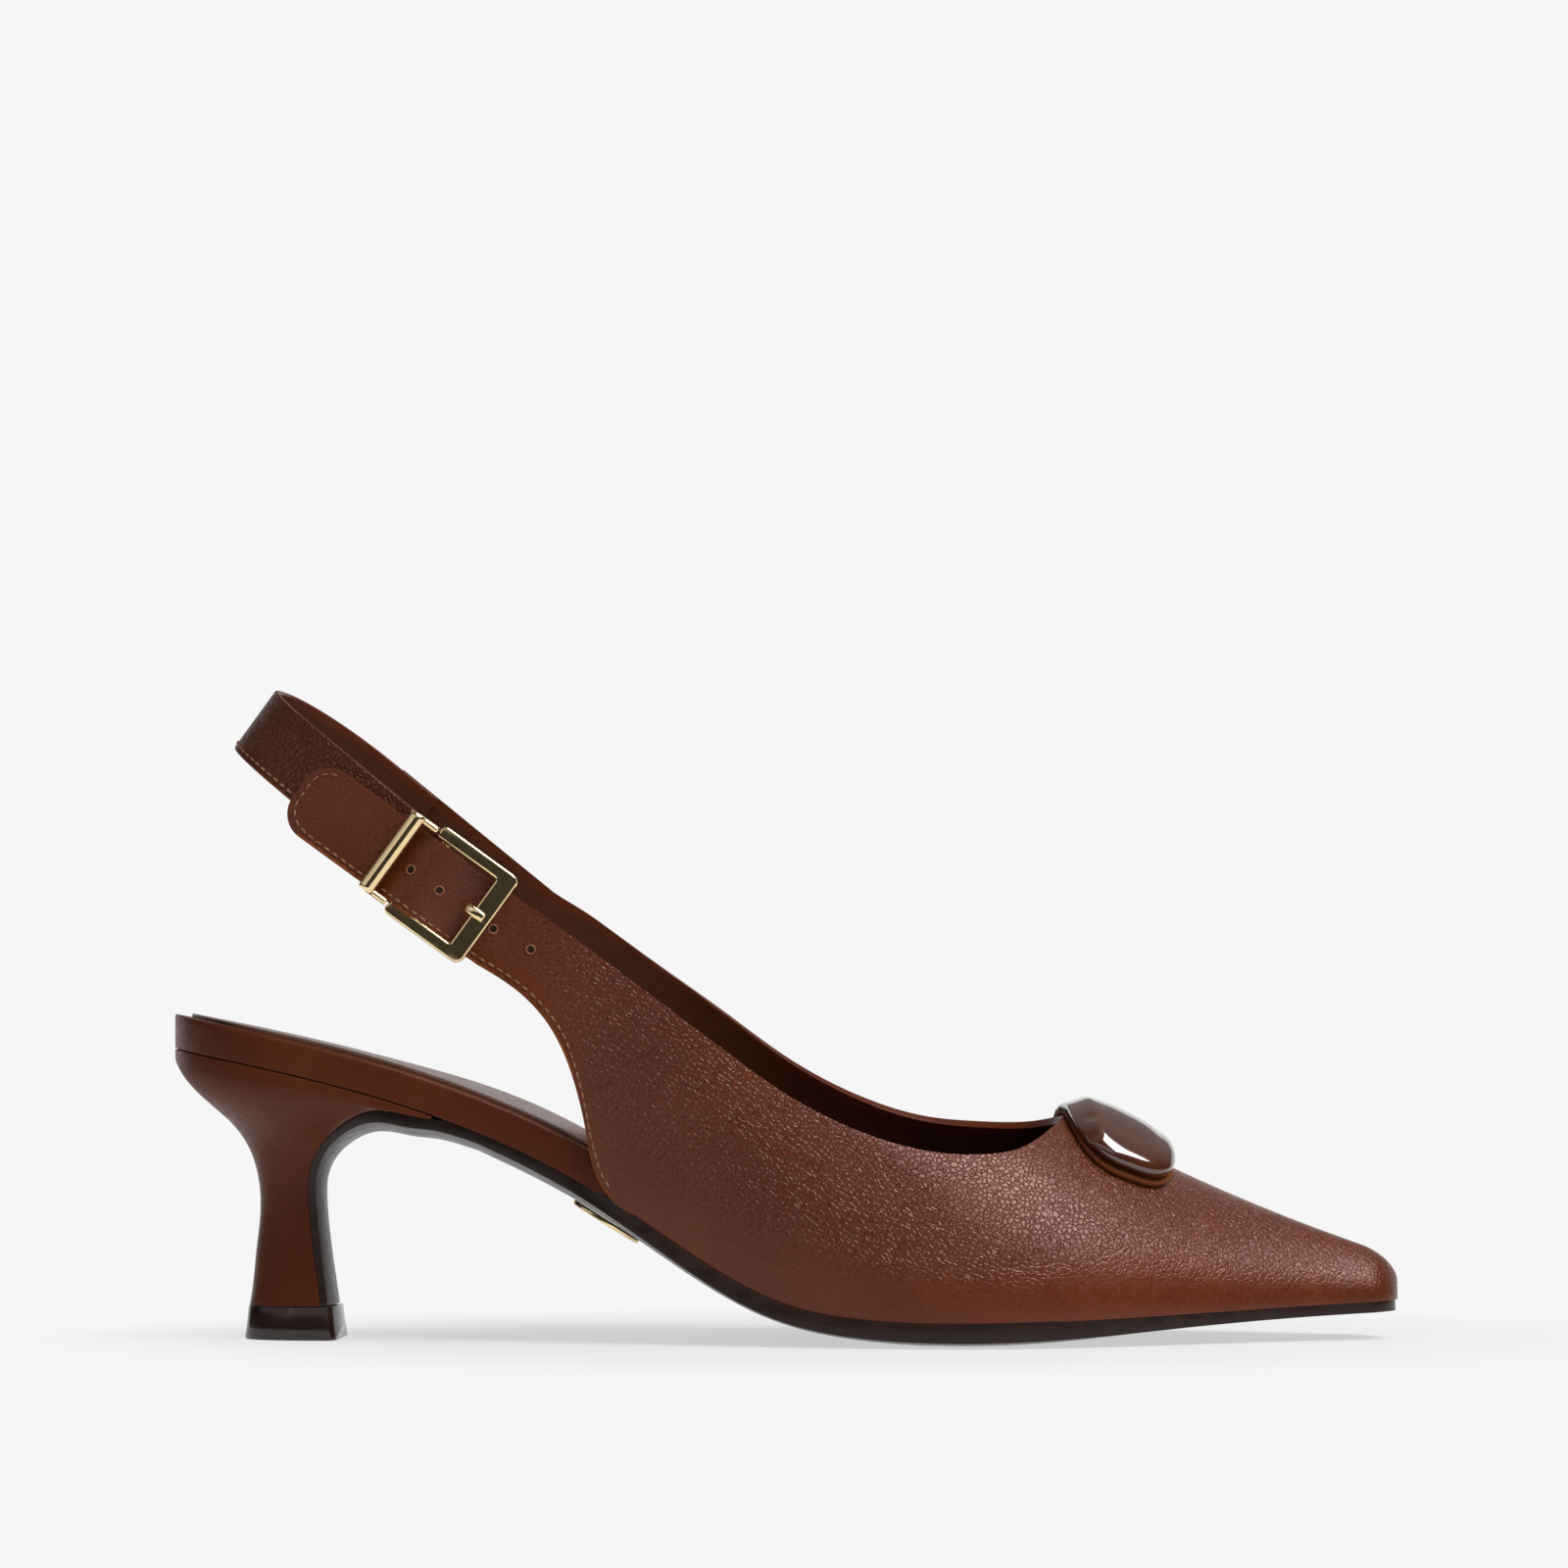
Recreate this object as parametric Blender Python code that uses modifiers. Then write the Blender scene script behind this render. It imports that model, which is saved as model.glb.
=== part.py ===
"""Slingback pump on a kitten heel, right shoe.

Frame: metres, +Z up, +X to the toe, -Y to the outer (lateral) side with the buckle.
The origin is on the floor, at mid length and mid width.
Everything is worked out from the last: its bottom outline and its pitch give the board, the sole
and the feather line, and its sections give the upper.
"""

import math

import bmesh
import bpy
import numpy as np
from mathutils import Matrix, Vector

# Driving sizes of the last and the whole shoe
LENGTH = 0.256
BALL_WIDTH = 0.0715
SEAT_HEIGHT = 0.0560
TOE_SPRING = 0.0034
INSTEP = 0.0412
HEEL_ROUND = 0.0225
TOE_ROUND = 0.0050
NOSE_DEPTH = 0.0075
NOSE_DROP = 0.0050

# Walls and layers
GAP = 0.0003
UPPER_WALL = 0.0018
BOARD_SEAT = 0.0069
BOARD_FORE = 0.0024
BOARD_EDGE = 0.0012
ARCH_LIFT = 0.0015
PAD_THICK = 0.0010
PAD_INSET = 0.0016
SOLE_THICK = 0.0046
SOLE_MARGIN = 0.0002
SOLE_WAIST_INSET = 0.0012

# Heel and top lift
LIFT_THICK = 0.0068
LIFT_WIDTH = 0.0170
FLAP_THICK = 0.0027

# Strap and its plane, which runs down to the toe
STRAP_PITCH = math.radians(36.0)
STRAP_WIDTH = 0.0158
STRAP_HALF_SPAN = 0.0270
SLING_WALL = 0.0014
SLING_WIDTH = 0.0148
SLING_GAP = 0.0006
SLING_LAP = 0.0100
LOOP_REACH = 0.0728
LOOP_TURN = 0.0216
LOOP_POWER = 2.3
TAB_LENGTH = 0.0538
TAB_CORNER = 0.0060
TAB_START = 0.0030
STRAP_BLEND = 0.0360
INNER_END = 0.0450
INNER_RISE = 0.0055
INNER_CLIMB = 0.055

# Buckle
FRAME_LENGTH = 0.0191
FRAME_WIDTH = 0.0219
FRAME_BAR = 0.0034
FRAME_RAIL = 0.0027
FRAME_THICK = 0.0020
KEEPER_RADIUS = 0.00125
KEEPER_ARM_RADIUS = 0.0007
BAR_RADIUS = 0.0008
PRONG_RADIUS = 0.00075
PRONG_HOLE = 0.0026
WEAVE = 0.0027

# Places along the strap, as distances back from its root
FRAME_FRONT = 0.0063
BAR_PLACE = FRAME_FRONT + FRAME_LENGTH - 0.0023
KEEPER_PLACE = FRAME_FRONT + FRAME_LENGTH + 0.0052
HOLE_IN_USE = FRAME_FRONT + 0.0057
SLING_START = BAR_PLACE + 0.0011

# Ornament, its leather band and the shank plaque
ORNAMENT_LENGTH = 0.0240
ORNAMENT_WIDTH = 0.0275
ORNAMENT_THICK = 0.0038
ORNAMENT_RIM = 0.0010
ORNAMENT_POWER = 3.0
ORNAMENT_FORWARD = 0.43
ORNAMENT_VAULT = 0.0016
BAND_THICK = 0.0013
BAND_MARGIN = 0.0019
PLAQUE_LENGTH = 0.0160
PLAQUE_WIDTH = 0.0100
PLAQUE_THICK = 0.0009

LATERAL = -1
MEDIAL = 1
BACK = -LENGTH / 2
TIP = LENGTH / 2
HALF_BALL = BALL_WIDTH / 2
SHELL = GAP + UPPER_WALL
UNDER_BALL = SOLE_THICK
TAB_OUT = UPPER_WALL + SLING_GAP

# Buckle's depths, from the middle plane of the shoe out to its lateral side
FACE = STRAP_HALF_SPAN - SHELL + TAB_OUT
FRAME_DEPTH = FACE + GAP + FRAME_THICK / 2
BAR_DEPTH = FACE + WEAVE - UPPER_WALL - GAP - BAR_RADIUS
FRAME_MIDDLE = -STRAP_WIDTH / 2 - 0.00015
FRAME_CORNER = 0.0020
KEEPER_SHARE = 0.415

# Counts
OUTLINE_STEPS = 600
SOLVE_STEPS = 240
UPPER_ROWS = 9

# The last's bottom, a row for each station from heel to toe.
# station is a share of LENGTH, outer and inner are shares of half the ball width,
# pitch is a share of SEAT_HEIGHT and spring a share of TOE_SPRING.
BOTTOM = np.array([
    # station, outer, inner, pitch, spring
    (0.000, 0.62, 0.62, 1.000, 0.00),
    (0.080, 0.650, 0.640, 0.922, 0.00),
    (0.172, 0.650, 0.610, 0.815, 0.00),
    (0.250, 0.610, 0.530, 0.690, 0.00),
    (0.310, 0.600, 0.465, 0.564, 0.00),
    (0.370, 0.620, 0.450, 0.404, 0.00),
    (0.430, 0.690, 0.510, 0.221, 0.00),
    (0.490, 0.800, 0.640, 0.076, 0.00),
    (0.550, 0.910, 0.800, 0.016, 0.00),
    (0.620, 0.990, 0.955, 0.000, 0.00),
    (0.680, 0.975, 1.000, 0.000, 0.06),
    (0.740, 0.860, 0.945, 0.000, 0.21),
    (0.810, 0.640, 0.780, 0.000, 0.40),
    (0.880, 0.410, 0.555, 0.000, 0.62),
    (0.940, 0.235, 0.360, 0.000, 0.81),
    (1.000, 0.100, 0.185, 0.000, 1.00),
])

# The last's sections above the feather line, a row for each station.
# rise is a share of INSTEP up to the ridge of the full last; the bellies are shares of half the
# ball width, and shoulder is a share of the half width there.
SECTIONS = np.array([
    # station, rise, outer belly, inner belly, shoulder
    (0.200, 3.10, 0.150, 0.420, 1.16),
    (0.380, 2.55, 0.175, 0.400, 1.12),
    (0.500, 1.88, 0.085, 0.200, 0.74),
    (0.580, 1.47, 0.035, 0.060, 0.60),
    (0.660, 1.19, 0.028, 0.030, 0.53),
    (0.726, 1.00, 0.025, 0.025, 0.51),
    (0.820, 0.702, 0.018, 0.018, 0.50),
    (0.910, 0.438, 0.012, 0.012, 0.50),
    (1.000, 0.210, 0.006, 0.006, 0.50),
])
BELLY_LEVEL = 0.45
RIDGE_DROP = 0.02

# Toplines from the quarter to the throat, a row for each station.
# rise is a share of INSTEP over the feather line; at the throat both meet the ridge.
THROAT = 0.726
TOPLINE = {
    LATERAL: np.array([
        # station, rise
        (0.300, 1.227),
        (0.380, 1.156),
        (0.450, 1.114),
        (0.520, 0.995),
        (0.570, 0.898),
        (0.620, 0.834),
        (0.660, 0.825),
        (0.690, 0.859),
        (0.708, 0.922),
        (THROAT, 1.000),
    ]),
    MEDIAL: np.array([
        # station, rise
        (0.300, 1.410),
        (0.380, 1.345),
        (0.450, 1.318),
        (0.520, 1.190),
        (0.570, 1.082),
        (0.620, 1.005),
        (0.660, 0.981),
        (0.690, 0.972),
        (0.708, 0.978),
        (THROAT, 1.000),
    ]),
}

# The quarter's cut-away edge from the feather line up to the strap, a row for each point.
# rise is a share of INSTEP over the feather line.
CUTAWAY = np.array([
    # station, rise
    (0.362, 0.000),
    (0.350, 0.060),
    (0.340, 0.267),
    (0.330, 0.496),
    (0.311, 0.696),
    (0.283, 0.795),
])
ROOT_STATION = 0.300

# Breast of the heel, from the top lift over the apex to where the sole meets the board.
# run is a share of LENGTH from the back, level a share of the seat's height over the floor and
# half a share of half the ball width. The last row is the sole's alone.
BREAST = np.array([
    # run, level, half
    (0.1227, 0.115, 0.245),
    (0.1188, 0.231, 0.222),
    (0.1148, 0.363, 0.205),
    (0.1125, 0.479, 0.207),
    (0.1133, 0.561, 0.226),
    (0.1195, 0.634, 0.285),
    (0.1320, 0.697, 0.370),
    (0.1484, 0.746, 0.460),
    (0.1641, 0.770, 0.510),
    (0.1800, 0.771, 0.540),
    (0.1973, 0.757, 0.560),
    (0.2168, 0.736, 0.575),
    (0.2363, 0.713, 0.585),
    (0.2559, 0.689, 0.590),
])

# Back of the heel, a row for each ring of the breast but the last.
BACK_CURVE = np.array([
    # run, level
    (0.0605, 0.115),
    (0.0632, 0.190),
    (0.0657, 0.300),
    (0.0687, 0.410),
    (0.0690, 0.500),
    (0.0655, 0.592),
    (0.0580, 0.675),
    (0.0475, 0.744),
    (0.0355, 0.796),
    (0.0245, 0.842),
    (0.0150, 0.886),
    (0.0080, 0.924),
    (0.0020, 0.960),
])


# Where the breast's curve joins the sole under the board
WAIST_END = 0.277

# The sole, a row for each station.
# thick is a share of SOLE_THICK and crown is the rounding of the underside as a share of thick.
SOLE_SHARES = np.array([
    # station, thick, crown
    (0.120, 0.80, 0.25),
    (0.250, 0.84, 0.30),
    (0.350, 0.86, 0.32),
    (0.500, 0.94, 0.42),
    (0.580, 1.10, 0.56),
    (0.720, 1.10, 0.56),
    (0.800, 0.76, 0.36),
    (0.890, 0.52, 0.15),
    (1.000, 0.48, 0.10),
])

# The sling's middle line, by the turn round the loop in degrees, from the buckle's end.
# centre is how far it lies below the strap's upper edge, as a share of STRAP_WIDTH.
SLING_CENTRES = np.array([
    # turn, centre
    (-100, 0.40),
    (-60, 0.26),
    (0, 0.10),
    (60, -0.04),
    (78, 0.01),
    (100, 0.05),
])


def spline(at, xs, ys):
    """Natural cubic spline through the points xs, ys, straight beyond their ends."""
    at, xs, ys = (np.asarray(v, float) for v in (at, xs, ys))
    step = np.diff(xs)
    slope = np.diff(ys) / step
    count = len(xs)
    matrix = np.eye(count)
    right = np.zeros(count)
    inner = np.arange(1, count - 1)
    matrix[inner, inner - 1] = step[:-1]
    matrix[inner, inner] = 2 * (step[:-1] + step[1:])
    matrix[inner, inner + 1] = step[1:]
    right[inner] = 6 * np.diff(slope)
    bend = np.linalg.solve(matrix, right)
    held = np.clip(at, xs[0], xs[-1])
    i = np.clip(np.searchsorted(xs, held) - 1, 0, count - 2)
    h, left, far = step[i], held - xs[i], xs[i + 1] - held
    curve = (
        (bend[i] * far**3 + bend[i + 1] * left**3) / (6 * h)
        + (ys[i] / h - bend[i] * h / 6) * far
        + (ys[i + 1] / h - bend[i + 1] * h / 6) * left
    )
    first = slope[0] - step[0] * bend[1] / 6
    last = slope[-1] + step[-1] * bend[-2] / 6
    return curve + np.where(at < held, first, last) * (at - held)


def share(x):
    """The station of a place along the shoe, as a share of LENGTH from the back."""
    return (np.asarray(x, float) - BACK) / LENGTH


def place(station):
    """The place along X of a station."""
    return BACK + np.asarray(station, float) * LENGTH


def bottom(column, x):
    return spline(share(x), BOTTOM[:, 0], BOTTOM[:, column])


def sections(column, x):
    return spline(share(x), SECTIONS[:, 0], SECTIONS[:, column])


def ease(value, start, end):
    """0 before start, 1 after end, and smooth between them."""
    t = np.clip((np.asarray(value, float) - start) / (end - start), 0, 1)
    return t * t * (3 - 2 * t)


def quarter_round(depth, radius):
    """Height of a quarter circle, 0 at its tip and 1 from its radius on."""
    t = np.clip(1 - np.asarray(depth, float) / radius, 0, 1)
    return np.sqrt(1 - t * t)


def feather(x):
    """The level of the last's bottom: seat, arch, ball and toe spring."""
    return UNDER_BALL + GAP + bottom(3, x) * SEAT_HEIGHT + bottom(4, x) * TOE_SPRING


def board_edge(x, side):
    """Y of the board's edge on one side, rounded off at the seat and the toe."""
    outer = bottom(1, x) * HALF_BALL
    inner = bottom(2, x) * HALF_BALL
    ends = quarter_round(x - BACK, HEEL_ROUND) * quarter_round(TIP - SHELL - x, TOE_ROUND)
    return (inner - outer) / 2 + side * (inner + outer) / 2 * ends


def swing(x):
    """Y of the middle line of the last's bottom."""
    return (bottom(2, x) - bottom(1, x)) / 2 * HALF_BALL


def grown_edge(x, side, grow):
    """Y of the board's edge moved out by grow, square to the outline in plan."""
    turn = np.linspace(0, math.pi, OUTLINE_STEPS)
    xs = (BACK + TIP - SHELL) / 2 - (LENGTH - SHELL) / 2 * np.cos(turn)
    ys = board_edge(xs, side)
    dx, dy = np.gradient(xs), np.gradient(ys)
    length = np.hypot(dx, dy)
    return np.interp(x, xs - side * dy / length * grow, ys + side * dx / length * grow)


def ridge_level(x):
    """Level of the full last's ridge, with the nose rounded down at the tip."""
    nose = NOSE_DROP * (1 - quarter_round(TIP - x, NOSE_DEPTH))
    return feather(x) + sections(1, x) * INSTEP - nose


def last_section(x, t, side):
    """Points of the last's skin: a Bezier arch from the feather line (t 0) to the ridge (t 1)."""
    x, t = np.broadcast_arrays(np.asarray(x, float), np.asarray(t, float))
    base = feather(x)
    top = ridge_level(x)
    middle = swing(x)
    edge = grown_edge(x, side, SHELL)
    half = np.abs(edge - middle)
    fade = quarter_round(TIP - x, TOE_ROUND)
    belly = edge + side * sections(2 if side == LATERAL else 3, x) * HALF_BALL * fade
    shoulder = middle + side * sections(4, x) * half
    rise = top - base
    a, b, c, d = (1 - t) ** 3, 3 * (1 - t) ** 2 * t, 3 * (1 - t) * t**2, t**3
    y = a * edge + b * belly + c * shoulder + d * middle
    z = base + rise * (b * BELLY_LEVEL + c * (1 - RIDGE_DROP) + d)
    return np.stack([x, y, z], -1)


def topline_level(x, side):
    table = TOPLINE[side]
    return feather(x) + spline(share(x), table[:, 0], table[:, 1]) * INSTEP


def section_at_level(x, z, side):
    """The parameter of the last's section at x where it reaches the level z."""
    ts = np.linspace(0, 1, SOLVE_STEPS)
    x, z = np.broadcast_arrays(np.asarray(x, float), np.asarray(z, float))
    found = np.empty(x.shape)
    for index in np.ndindex(x.shape):
        levels = last_section(x[index], ts, side)[:, 2]
        found[index] = np.interp(z[index], np.maximum.accumulate(levels), ts)
    return found


def last_point(x, z, side):
    """The point of the last's skin at a place x and a level z."""
    return last_section(x, section_at_level(x, z, side), side)


# The strap's plane: along runs forward and down, across runs forward and up, root is its origin
ALONG = np.array([math.cos(STRAP_PITCH), 0, -math.sin(STRAP_PITCH)])
ACROSS = np.array([math.sin(STRAP_PITCH), 0, math.cos(STRAP_PITCH)])
ROOT = np.array([place(ROOT_STATION), 0, topline_level(place(ROOT_STATION), LATERAL)])


def strap_point(along, across, y):
    """World point from distances along and across the strap and a Y."""
    along, across, y = np.broadcast_arrays(*(np.asarray(v, float) for v in (along, across, y)))
    return (
        ROOT
        + along[..., None] * ALONG
        + across[..., None] * ACROSS
        + y[..., None] * np.array([0, 1, 0])
    )


def loop_span(along, out):
    """Half span of the strap loop at a distance along it (negative is rearward), moved out."""
    reach = LOOP_REACH - LOOP_TURN + out
    back = np.clip((-np.asarray(along, float) - LOOP_TURN) / reach, 0, 1)
    return (STRAP_HALF_SPAN - SHELL + out) * (1 - back**LOOP_POWER) ** (1 / LOOP_POWER)


def weave(along):
    """How far the strap end bulges out where it passes over the buckle's middle bar."""
    back = ease(-along, BAR_PLACE + 0.0063, BAR_PLACE)
    front = ease(-along, FRAME_FRONT + FRAME_BAR + 0.0002, BAR_PLACE)
    return WEAVE * np.minimum(back, front)


def tab_y(along, side):
    bulge = weave(along) if side == LATERAL else 0
    return side * (loop_span(along, TAB_OUT) + bulge)


def inner_rise(along):
    """How much higher the inner strap's upper edge lies than the outer one's."""
    return INNER_RISE - INNER_CLIMB * along


def led_to_strap(points, side):
    """Points of the quarter, swung from the last's skin to the strap's as they near it."""
    along = (points[..., 0] - ROOT[0]) * ALONG[0] + (points[..., 2] - ROOT[2]) * ALONG[2]
    strap = ease(-along, -STRAP_BLEND, TAB_START)
    points[..., 1] = points[..., 1] * (1 - strap) + tab_y(along, side) * strap
    return points


def quarter_rib(low, top, side, rows):
    """A rib of the quarter between two points in side view, lying on the last or the strap."""
    t = np.linspace(0, 1, rows)[:, None]
    flat = np.asarray(low) + (np.asarray(top) - np.asarray(low)) * t
    points = last_point(flat[:, 0], flat[:, 1], side)
    points[:, 2] = flat[:, 1]
    return led_to_strap(points, side)


def upper_half(side, rows, fineness=1):
    """Ribs of one half of the upper, from the toe to the end of its strap."""
    throat = place(THROAT)
    start = place(CUTAWAY[0, 0])
    nose = TIP - (TIP - throat) * np.linspace(0, 1, 19 * fineness) ** 2.2
    body = throat - (throat - start) * np.linspace(0, 1, 19 * fineness)[1:] ** 1.5
    across = np.linspace(0, 1, rows)
    ribs = [last_section(x, across, side) for x in nose]
    for x in body:
        cut = section_at_level(x, topline_level(x, side), side)
        ribs.append(led_to_strap(last_section(x, across * cut, side), side))

    # Fan of ribs round the cut-away, the lower ends on its edge and the upper ends on the topline
    rise = inner_rise(-TAB_START) if side == MEDIAL else 0
    edge_x = place(CUTAWAY[:, 0])
    edge_z = feather(edge_x) + CUTAWAY[:, 1] * INSTEP
    low_end = strap_point(-TAB_START, rise - STRAP_WIDTH, 0)
    top_end = strap_point(-TAB_START, rise, 0)
    if side == MEDIAL:
        edge_z = edge_z + rise / math.cos(STRAP_PITCH) * CUTAWAY[:, 1] / CUTAWAY[-1, 1]
    edge_x = np.append(edge_x, low_end[0])
    edge_z = np.append(edge_z, low_end[2])
    run = np.append(0, np.cumsum(np.hypot(np.diff(edge_x), np.diff(edge_z))))
    above = top_end[2] - topline_level(top_end[0], side)
    steps = np.linspace(0, 1, 11 * fineness)[1:]
    for step in steps:
        low = (spline(step * run[-1], run, edge_x), spline(step * run[-1], run, edge_z))
        top_x = start + (top_end[0] - start) * step
        top = (top_x, topline_level(top_x, side) + above * ease(step, 0.4, 1.0))
        ribs.append(quarter_rib(low, top, side, rows))

    # The strap: the outer one ends in a rounded tip, the inner one in a straight seam
    end = TAB_LENGTH if side == LATERAL else INNER_END
    alongs = -np.append(
        np.linspace(TAB_START, end - TAB_CORNER, 15 * fineness)[1:],
        end - TAB_CORNER * (1 - np.linspace(0, 1, 5 * fineness)[1:]) ** 2,
    )
    for along in alongs:
        half = STRAP_WIDTH / 2
        if side == LATERAL:
            half -= TAB_CORNER * (1 - quarter_round(end + along, TAB_CORNER))
        else:
            rise = inner_rise(along)
        width = rise - STRAP_WIDTH / 2 + half * (2 * across - 1)
        ribs.append(strap_point(along, width, tab_y(along, side)))
    return np.array(ribs)


# Blender helpers

for thing in list(bpy.data.objects):
    bpy.data.objects.remove(thing, do_unlink=True)

parts = bpy.data.collections.new("slingback_pump")
bpy.context.scene.collection.children.link(parts)
cutters = bpy.data.collections.new("cutters")
bpy.context.scene.collection.children.link(cutters)


def finish(name, colour, roughness, metallic=0.0):
    """A Principled material with one colour, roughness and metallic value."""
    material = bpy.data.materials.new(name)
    material.use_nodes = True
    shader = material.node_tree.nodes["Principled BSDF"]
    shader.inputs["Base Color"].default_value = (*colour, 1)
    shader.inputs["Roughness"].default_value = roughness
    shader.inputs["Metallic"].default_value = metallic
    return material


LEATHER = finish("cognac_leather", (0.17, 0.046, 0.018), 0.45)
DARK_LEATHER = finish("strap_leather", (0.09, 0.026, 0.012), 0.55)
SOLE_BROWN = finish("sole_brown", (0.035, 0.014, 0.010), 0.4)
GOLD = finish("pale_gold", (0.83, 0.62, 0.30), 0.12, 1.0)
PATENT = finish("brown_patent", (0.07, 0.018, 0.008), 0.06)
RAW_EDGE = finish("raw_leather_edge", (0.20, 0.06, 0.018), 0.8)


def add(name, mesh, material, collection=parts):
    thing = bpy.data.objects.new(name, mesh)
    collection.objects.link(thing)
    if material:
        mesh.materials.append(material)
    return thing


def grid_faces(rows, columns, flip, offset=0):
    """Quads of a grid of rows by columns, wound the other way where flip is true."""
    i, j = np.meshgrid(np.arange(rows - 1), np.arange(columns - 1), indexing="ij")
    a = (i * columns + j).ravel() + offset
    quads = np.stack([a, a + columns, a + columns + 1, a + 1], 1)
    return quads[:, ::-1] if flip else quads


def sheet(name, pieces, wall, material):
    """An open surface of welded grids, given its wall inward by Solidify."""
    points, faces = [], []
    for grid, flip in pieces:
        offset = sum(len(p) for p in points)
        faces.extend(grid_faces(grid.shape[0], grid.shape[1], flip, offset).tolist())
        points.append(grid.reshape(-1, 3))
    mesh = bpy.data.meshes.new(name)
    mesh.from_pydata(np.concatenate(points).tolist(), [], faces)
    work = bmesh.new()
    work.from_mesh(mesh)
    bmesh.ops.remove_doubles(work, verts=work.verts, dist=1e-6)
    bmesh.ops.dissolve_degenerate(work, edges=work.edges, dist=1e-7)
    work.to_mesh(mesh)
    work.free()
    mesh.shade_smooth()
    thing = add(name, mesh, material)
    solid = thing.modifiers.new("wall", "SOLIDIFY")
    solid.thickness = wall
    solid.offset = -1
    return thing


def loft(name, rings, material, collection=parts):
    """A closed solid through rings of equal count, capped at both ends."""
    rings = np.asarray(rings)
    count, around = rings.shape[:2]
    i, j = np.meshgrid(np.arange(count - 1), np.arange(around), indexing="ij")
    a = (i * around + j).ravel()
    b = (i * around + (j + 1) % around).ravel()
    faces = np.stack([a, b, b + around, a + around], 1).tolist()
    faces.append(list(range(around))[::-1])
    faces.append([(count - 1) * around + k for k in range(around)])
    mesh = bpy.data.meshes.new(name)
    mesh.from_pydata(rings.reshape(-1, 3).tolist(), [], faces)
    work = bmesh.new()
    work.from_mesh(mesh)
    bmesh.ops.remove_doubles(work, verts=work.verts, dist=1e-6)
    bmesh.ops.recalc_face_normals(work, faces=work.faces)
    work.to_mesh(mesh)
    work.free()
    mesh.shade_smooth()
    return add(name, mesh, material, collection)


def cut(thing, cutter):
    cutter.hide_render = True
    cutter.display_type = "WIRE"
    hole = thing.modifiers.new("hole", "BOOLEAN")
    hole.operation = "DIFFERENCE"
    hole.object = cutter
    hole.solver = "EXACT"


def slab_ring(x, left, right, low, high, corner, columns=5, low_tilt=0, high_tilt=0):
    """A section of a slab with round upper corners; each face rises by its tilt to the right."""
    half = (right - left) / 2
    middle = (right + left) / 2
    radius = min(corner, half * 0.9, (high - low) * 0.9)
    turn = np.radians([90, 60, 30, 0])
    edge_y = half - radius + radius * np.sin(turn)
    edge_z = high - radius * (1 - np.cos(turn))
    inner = np.linspace(half - radius, 0, columns)[1:-1]
    side_y = np.concatenate([[half], edge_y, inner])
    side_z = np.concatenate([[low], edge_z, np.full(len(inner), high)])
    ys = np.concatenate([-side_y, [0], side_y[::-1]])
    zs = np.concatenate([side_z, [high], side_z[::-1]])
    tilt = np.full(len(ys), float(high_tilt))
    tilt[[0, -1]] = low_tilt
    zs = zs + tilt * (1 + ys / half) / 2
    return np.stack([np.full(len(ys), x), middle + ys, zs], 1)


# The upper

def make_upper():
    outer = upper_half(LATERAL, UPPER_ROWS)
    inner = upper_half(MEDIAL, UPPER_ROWS)
    thing = sheet("upper", [(outer, True), (inner, False)], UPPER_WALL, LEATHER)
    slot = bmesh.new()
    bmesh.ops.create_cone(
        slot, cap_ends=True, segments=16, radius1=1, radius2=1, depth=1,
    )
    mesh = bpy.data.meshes.new("prong_slot")
    slot.to_mesh(mesh)
    slot.free()
    cutter = add("prong_slot", mesh, None, cutters)
    spot = strap_point(-HOLE_IN_USE, -STRAP_WIDTH / 2, -STRAP_HALF_SPAN)
    cutter.matrix_world = strap_matrix(spot) @ Matrix.Diagonal(
        (PRONG_HOLE * 0.67, PRONG_HOLE * 0.45, UPPER_WALL * 4, 1)
    )
    cut(thing, cutter)


def strap_matrix(origin):
    """Axes along the strap, across it and out of its outer face, on the lateral side."""
    along, across = Vector(ALONG), Vector(ACROSS)
    out = along.cross(across)
    turn = Matrix((along, across, out)).transposed().to_4x4()
    return Matrix.Translation(Vector(origin)) @ turn


# The sling strap round the heel

def sling_path(turn):
    """Distances along the strap and Y of the sling's outer face, by the turn round the loop."""
    turn = np.asarray(turn, float)
    c = np.abs(np.cos(turn)) ** (2 / LOOP_POWER)
    s = np.abs(np.sin(turn)) ** (2 / LOOP_POWER) * np.sign(turn)
    return -LOOP_TURN - (LOOP_REACH - LOOP_TURN) * c, s * (STRAP_HALF_SPAN - SHELL)


def sling_turn(along):
    """The turn round the loop, in radians, at which the path stands this far back."""
    reached = (along - LOOP_TURN) / (LOOP_REACH - LOOP_TURN)
    return math.acos(reached ** (LOOP_POWER / 2))


def make_sling():
    turns = np.linspace(-sling_turn(SLING_START), sling_turn(INNER_END - SLING_LAP), 33)
    alongs, ys = sling_path(turns)
    centres = -spline(np.degrees(turns), SLING_CENTRES[:, 0], SLING_CENTRES[:, 1]) * STRAP_WIDTH
    across = np.linspace(-0.5, 0.5, 4) * SLING_WIDTH
    grid = strap_point(alongs[:, None], centres[:, None] + across[None, :], ys[:, None])
    sheet("sling_strap", [(grid, True)], SLING_WALL, DARK_LEATHER)


# Board, pad and sole

def board_thickness(x):
    return BOARD_SEAT + (BOARD_FORE - BOARD_SEAT) * ease(share(x), 0.40, 0.52)


def slope_factor(level, x):
    """Vertical thickness of a layer per thickness square to it, from the slope of its level."""
    step = 0.0005
    slope = (level(x + step) - level(x - step)) / (2 * step)
    return math.sqrt(1 + float(slope) ** 2)


def arch_tilt(x):
    """How much higher the inner side of the board's top lies than its outer side."""
    return ARCH_LIFT * ease(share(x), 0.15, 0.30) * ease(share(x), 0.52, 0.38)


def board_top(x):
    return feather(x) + board_thickness(x) * slope_factor(feather, x)


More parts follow.
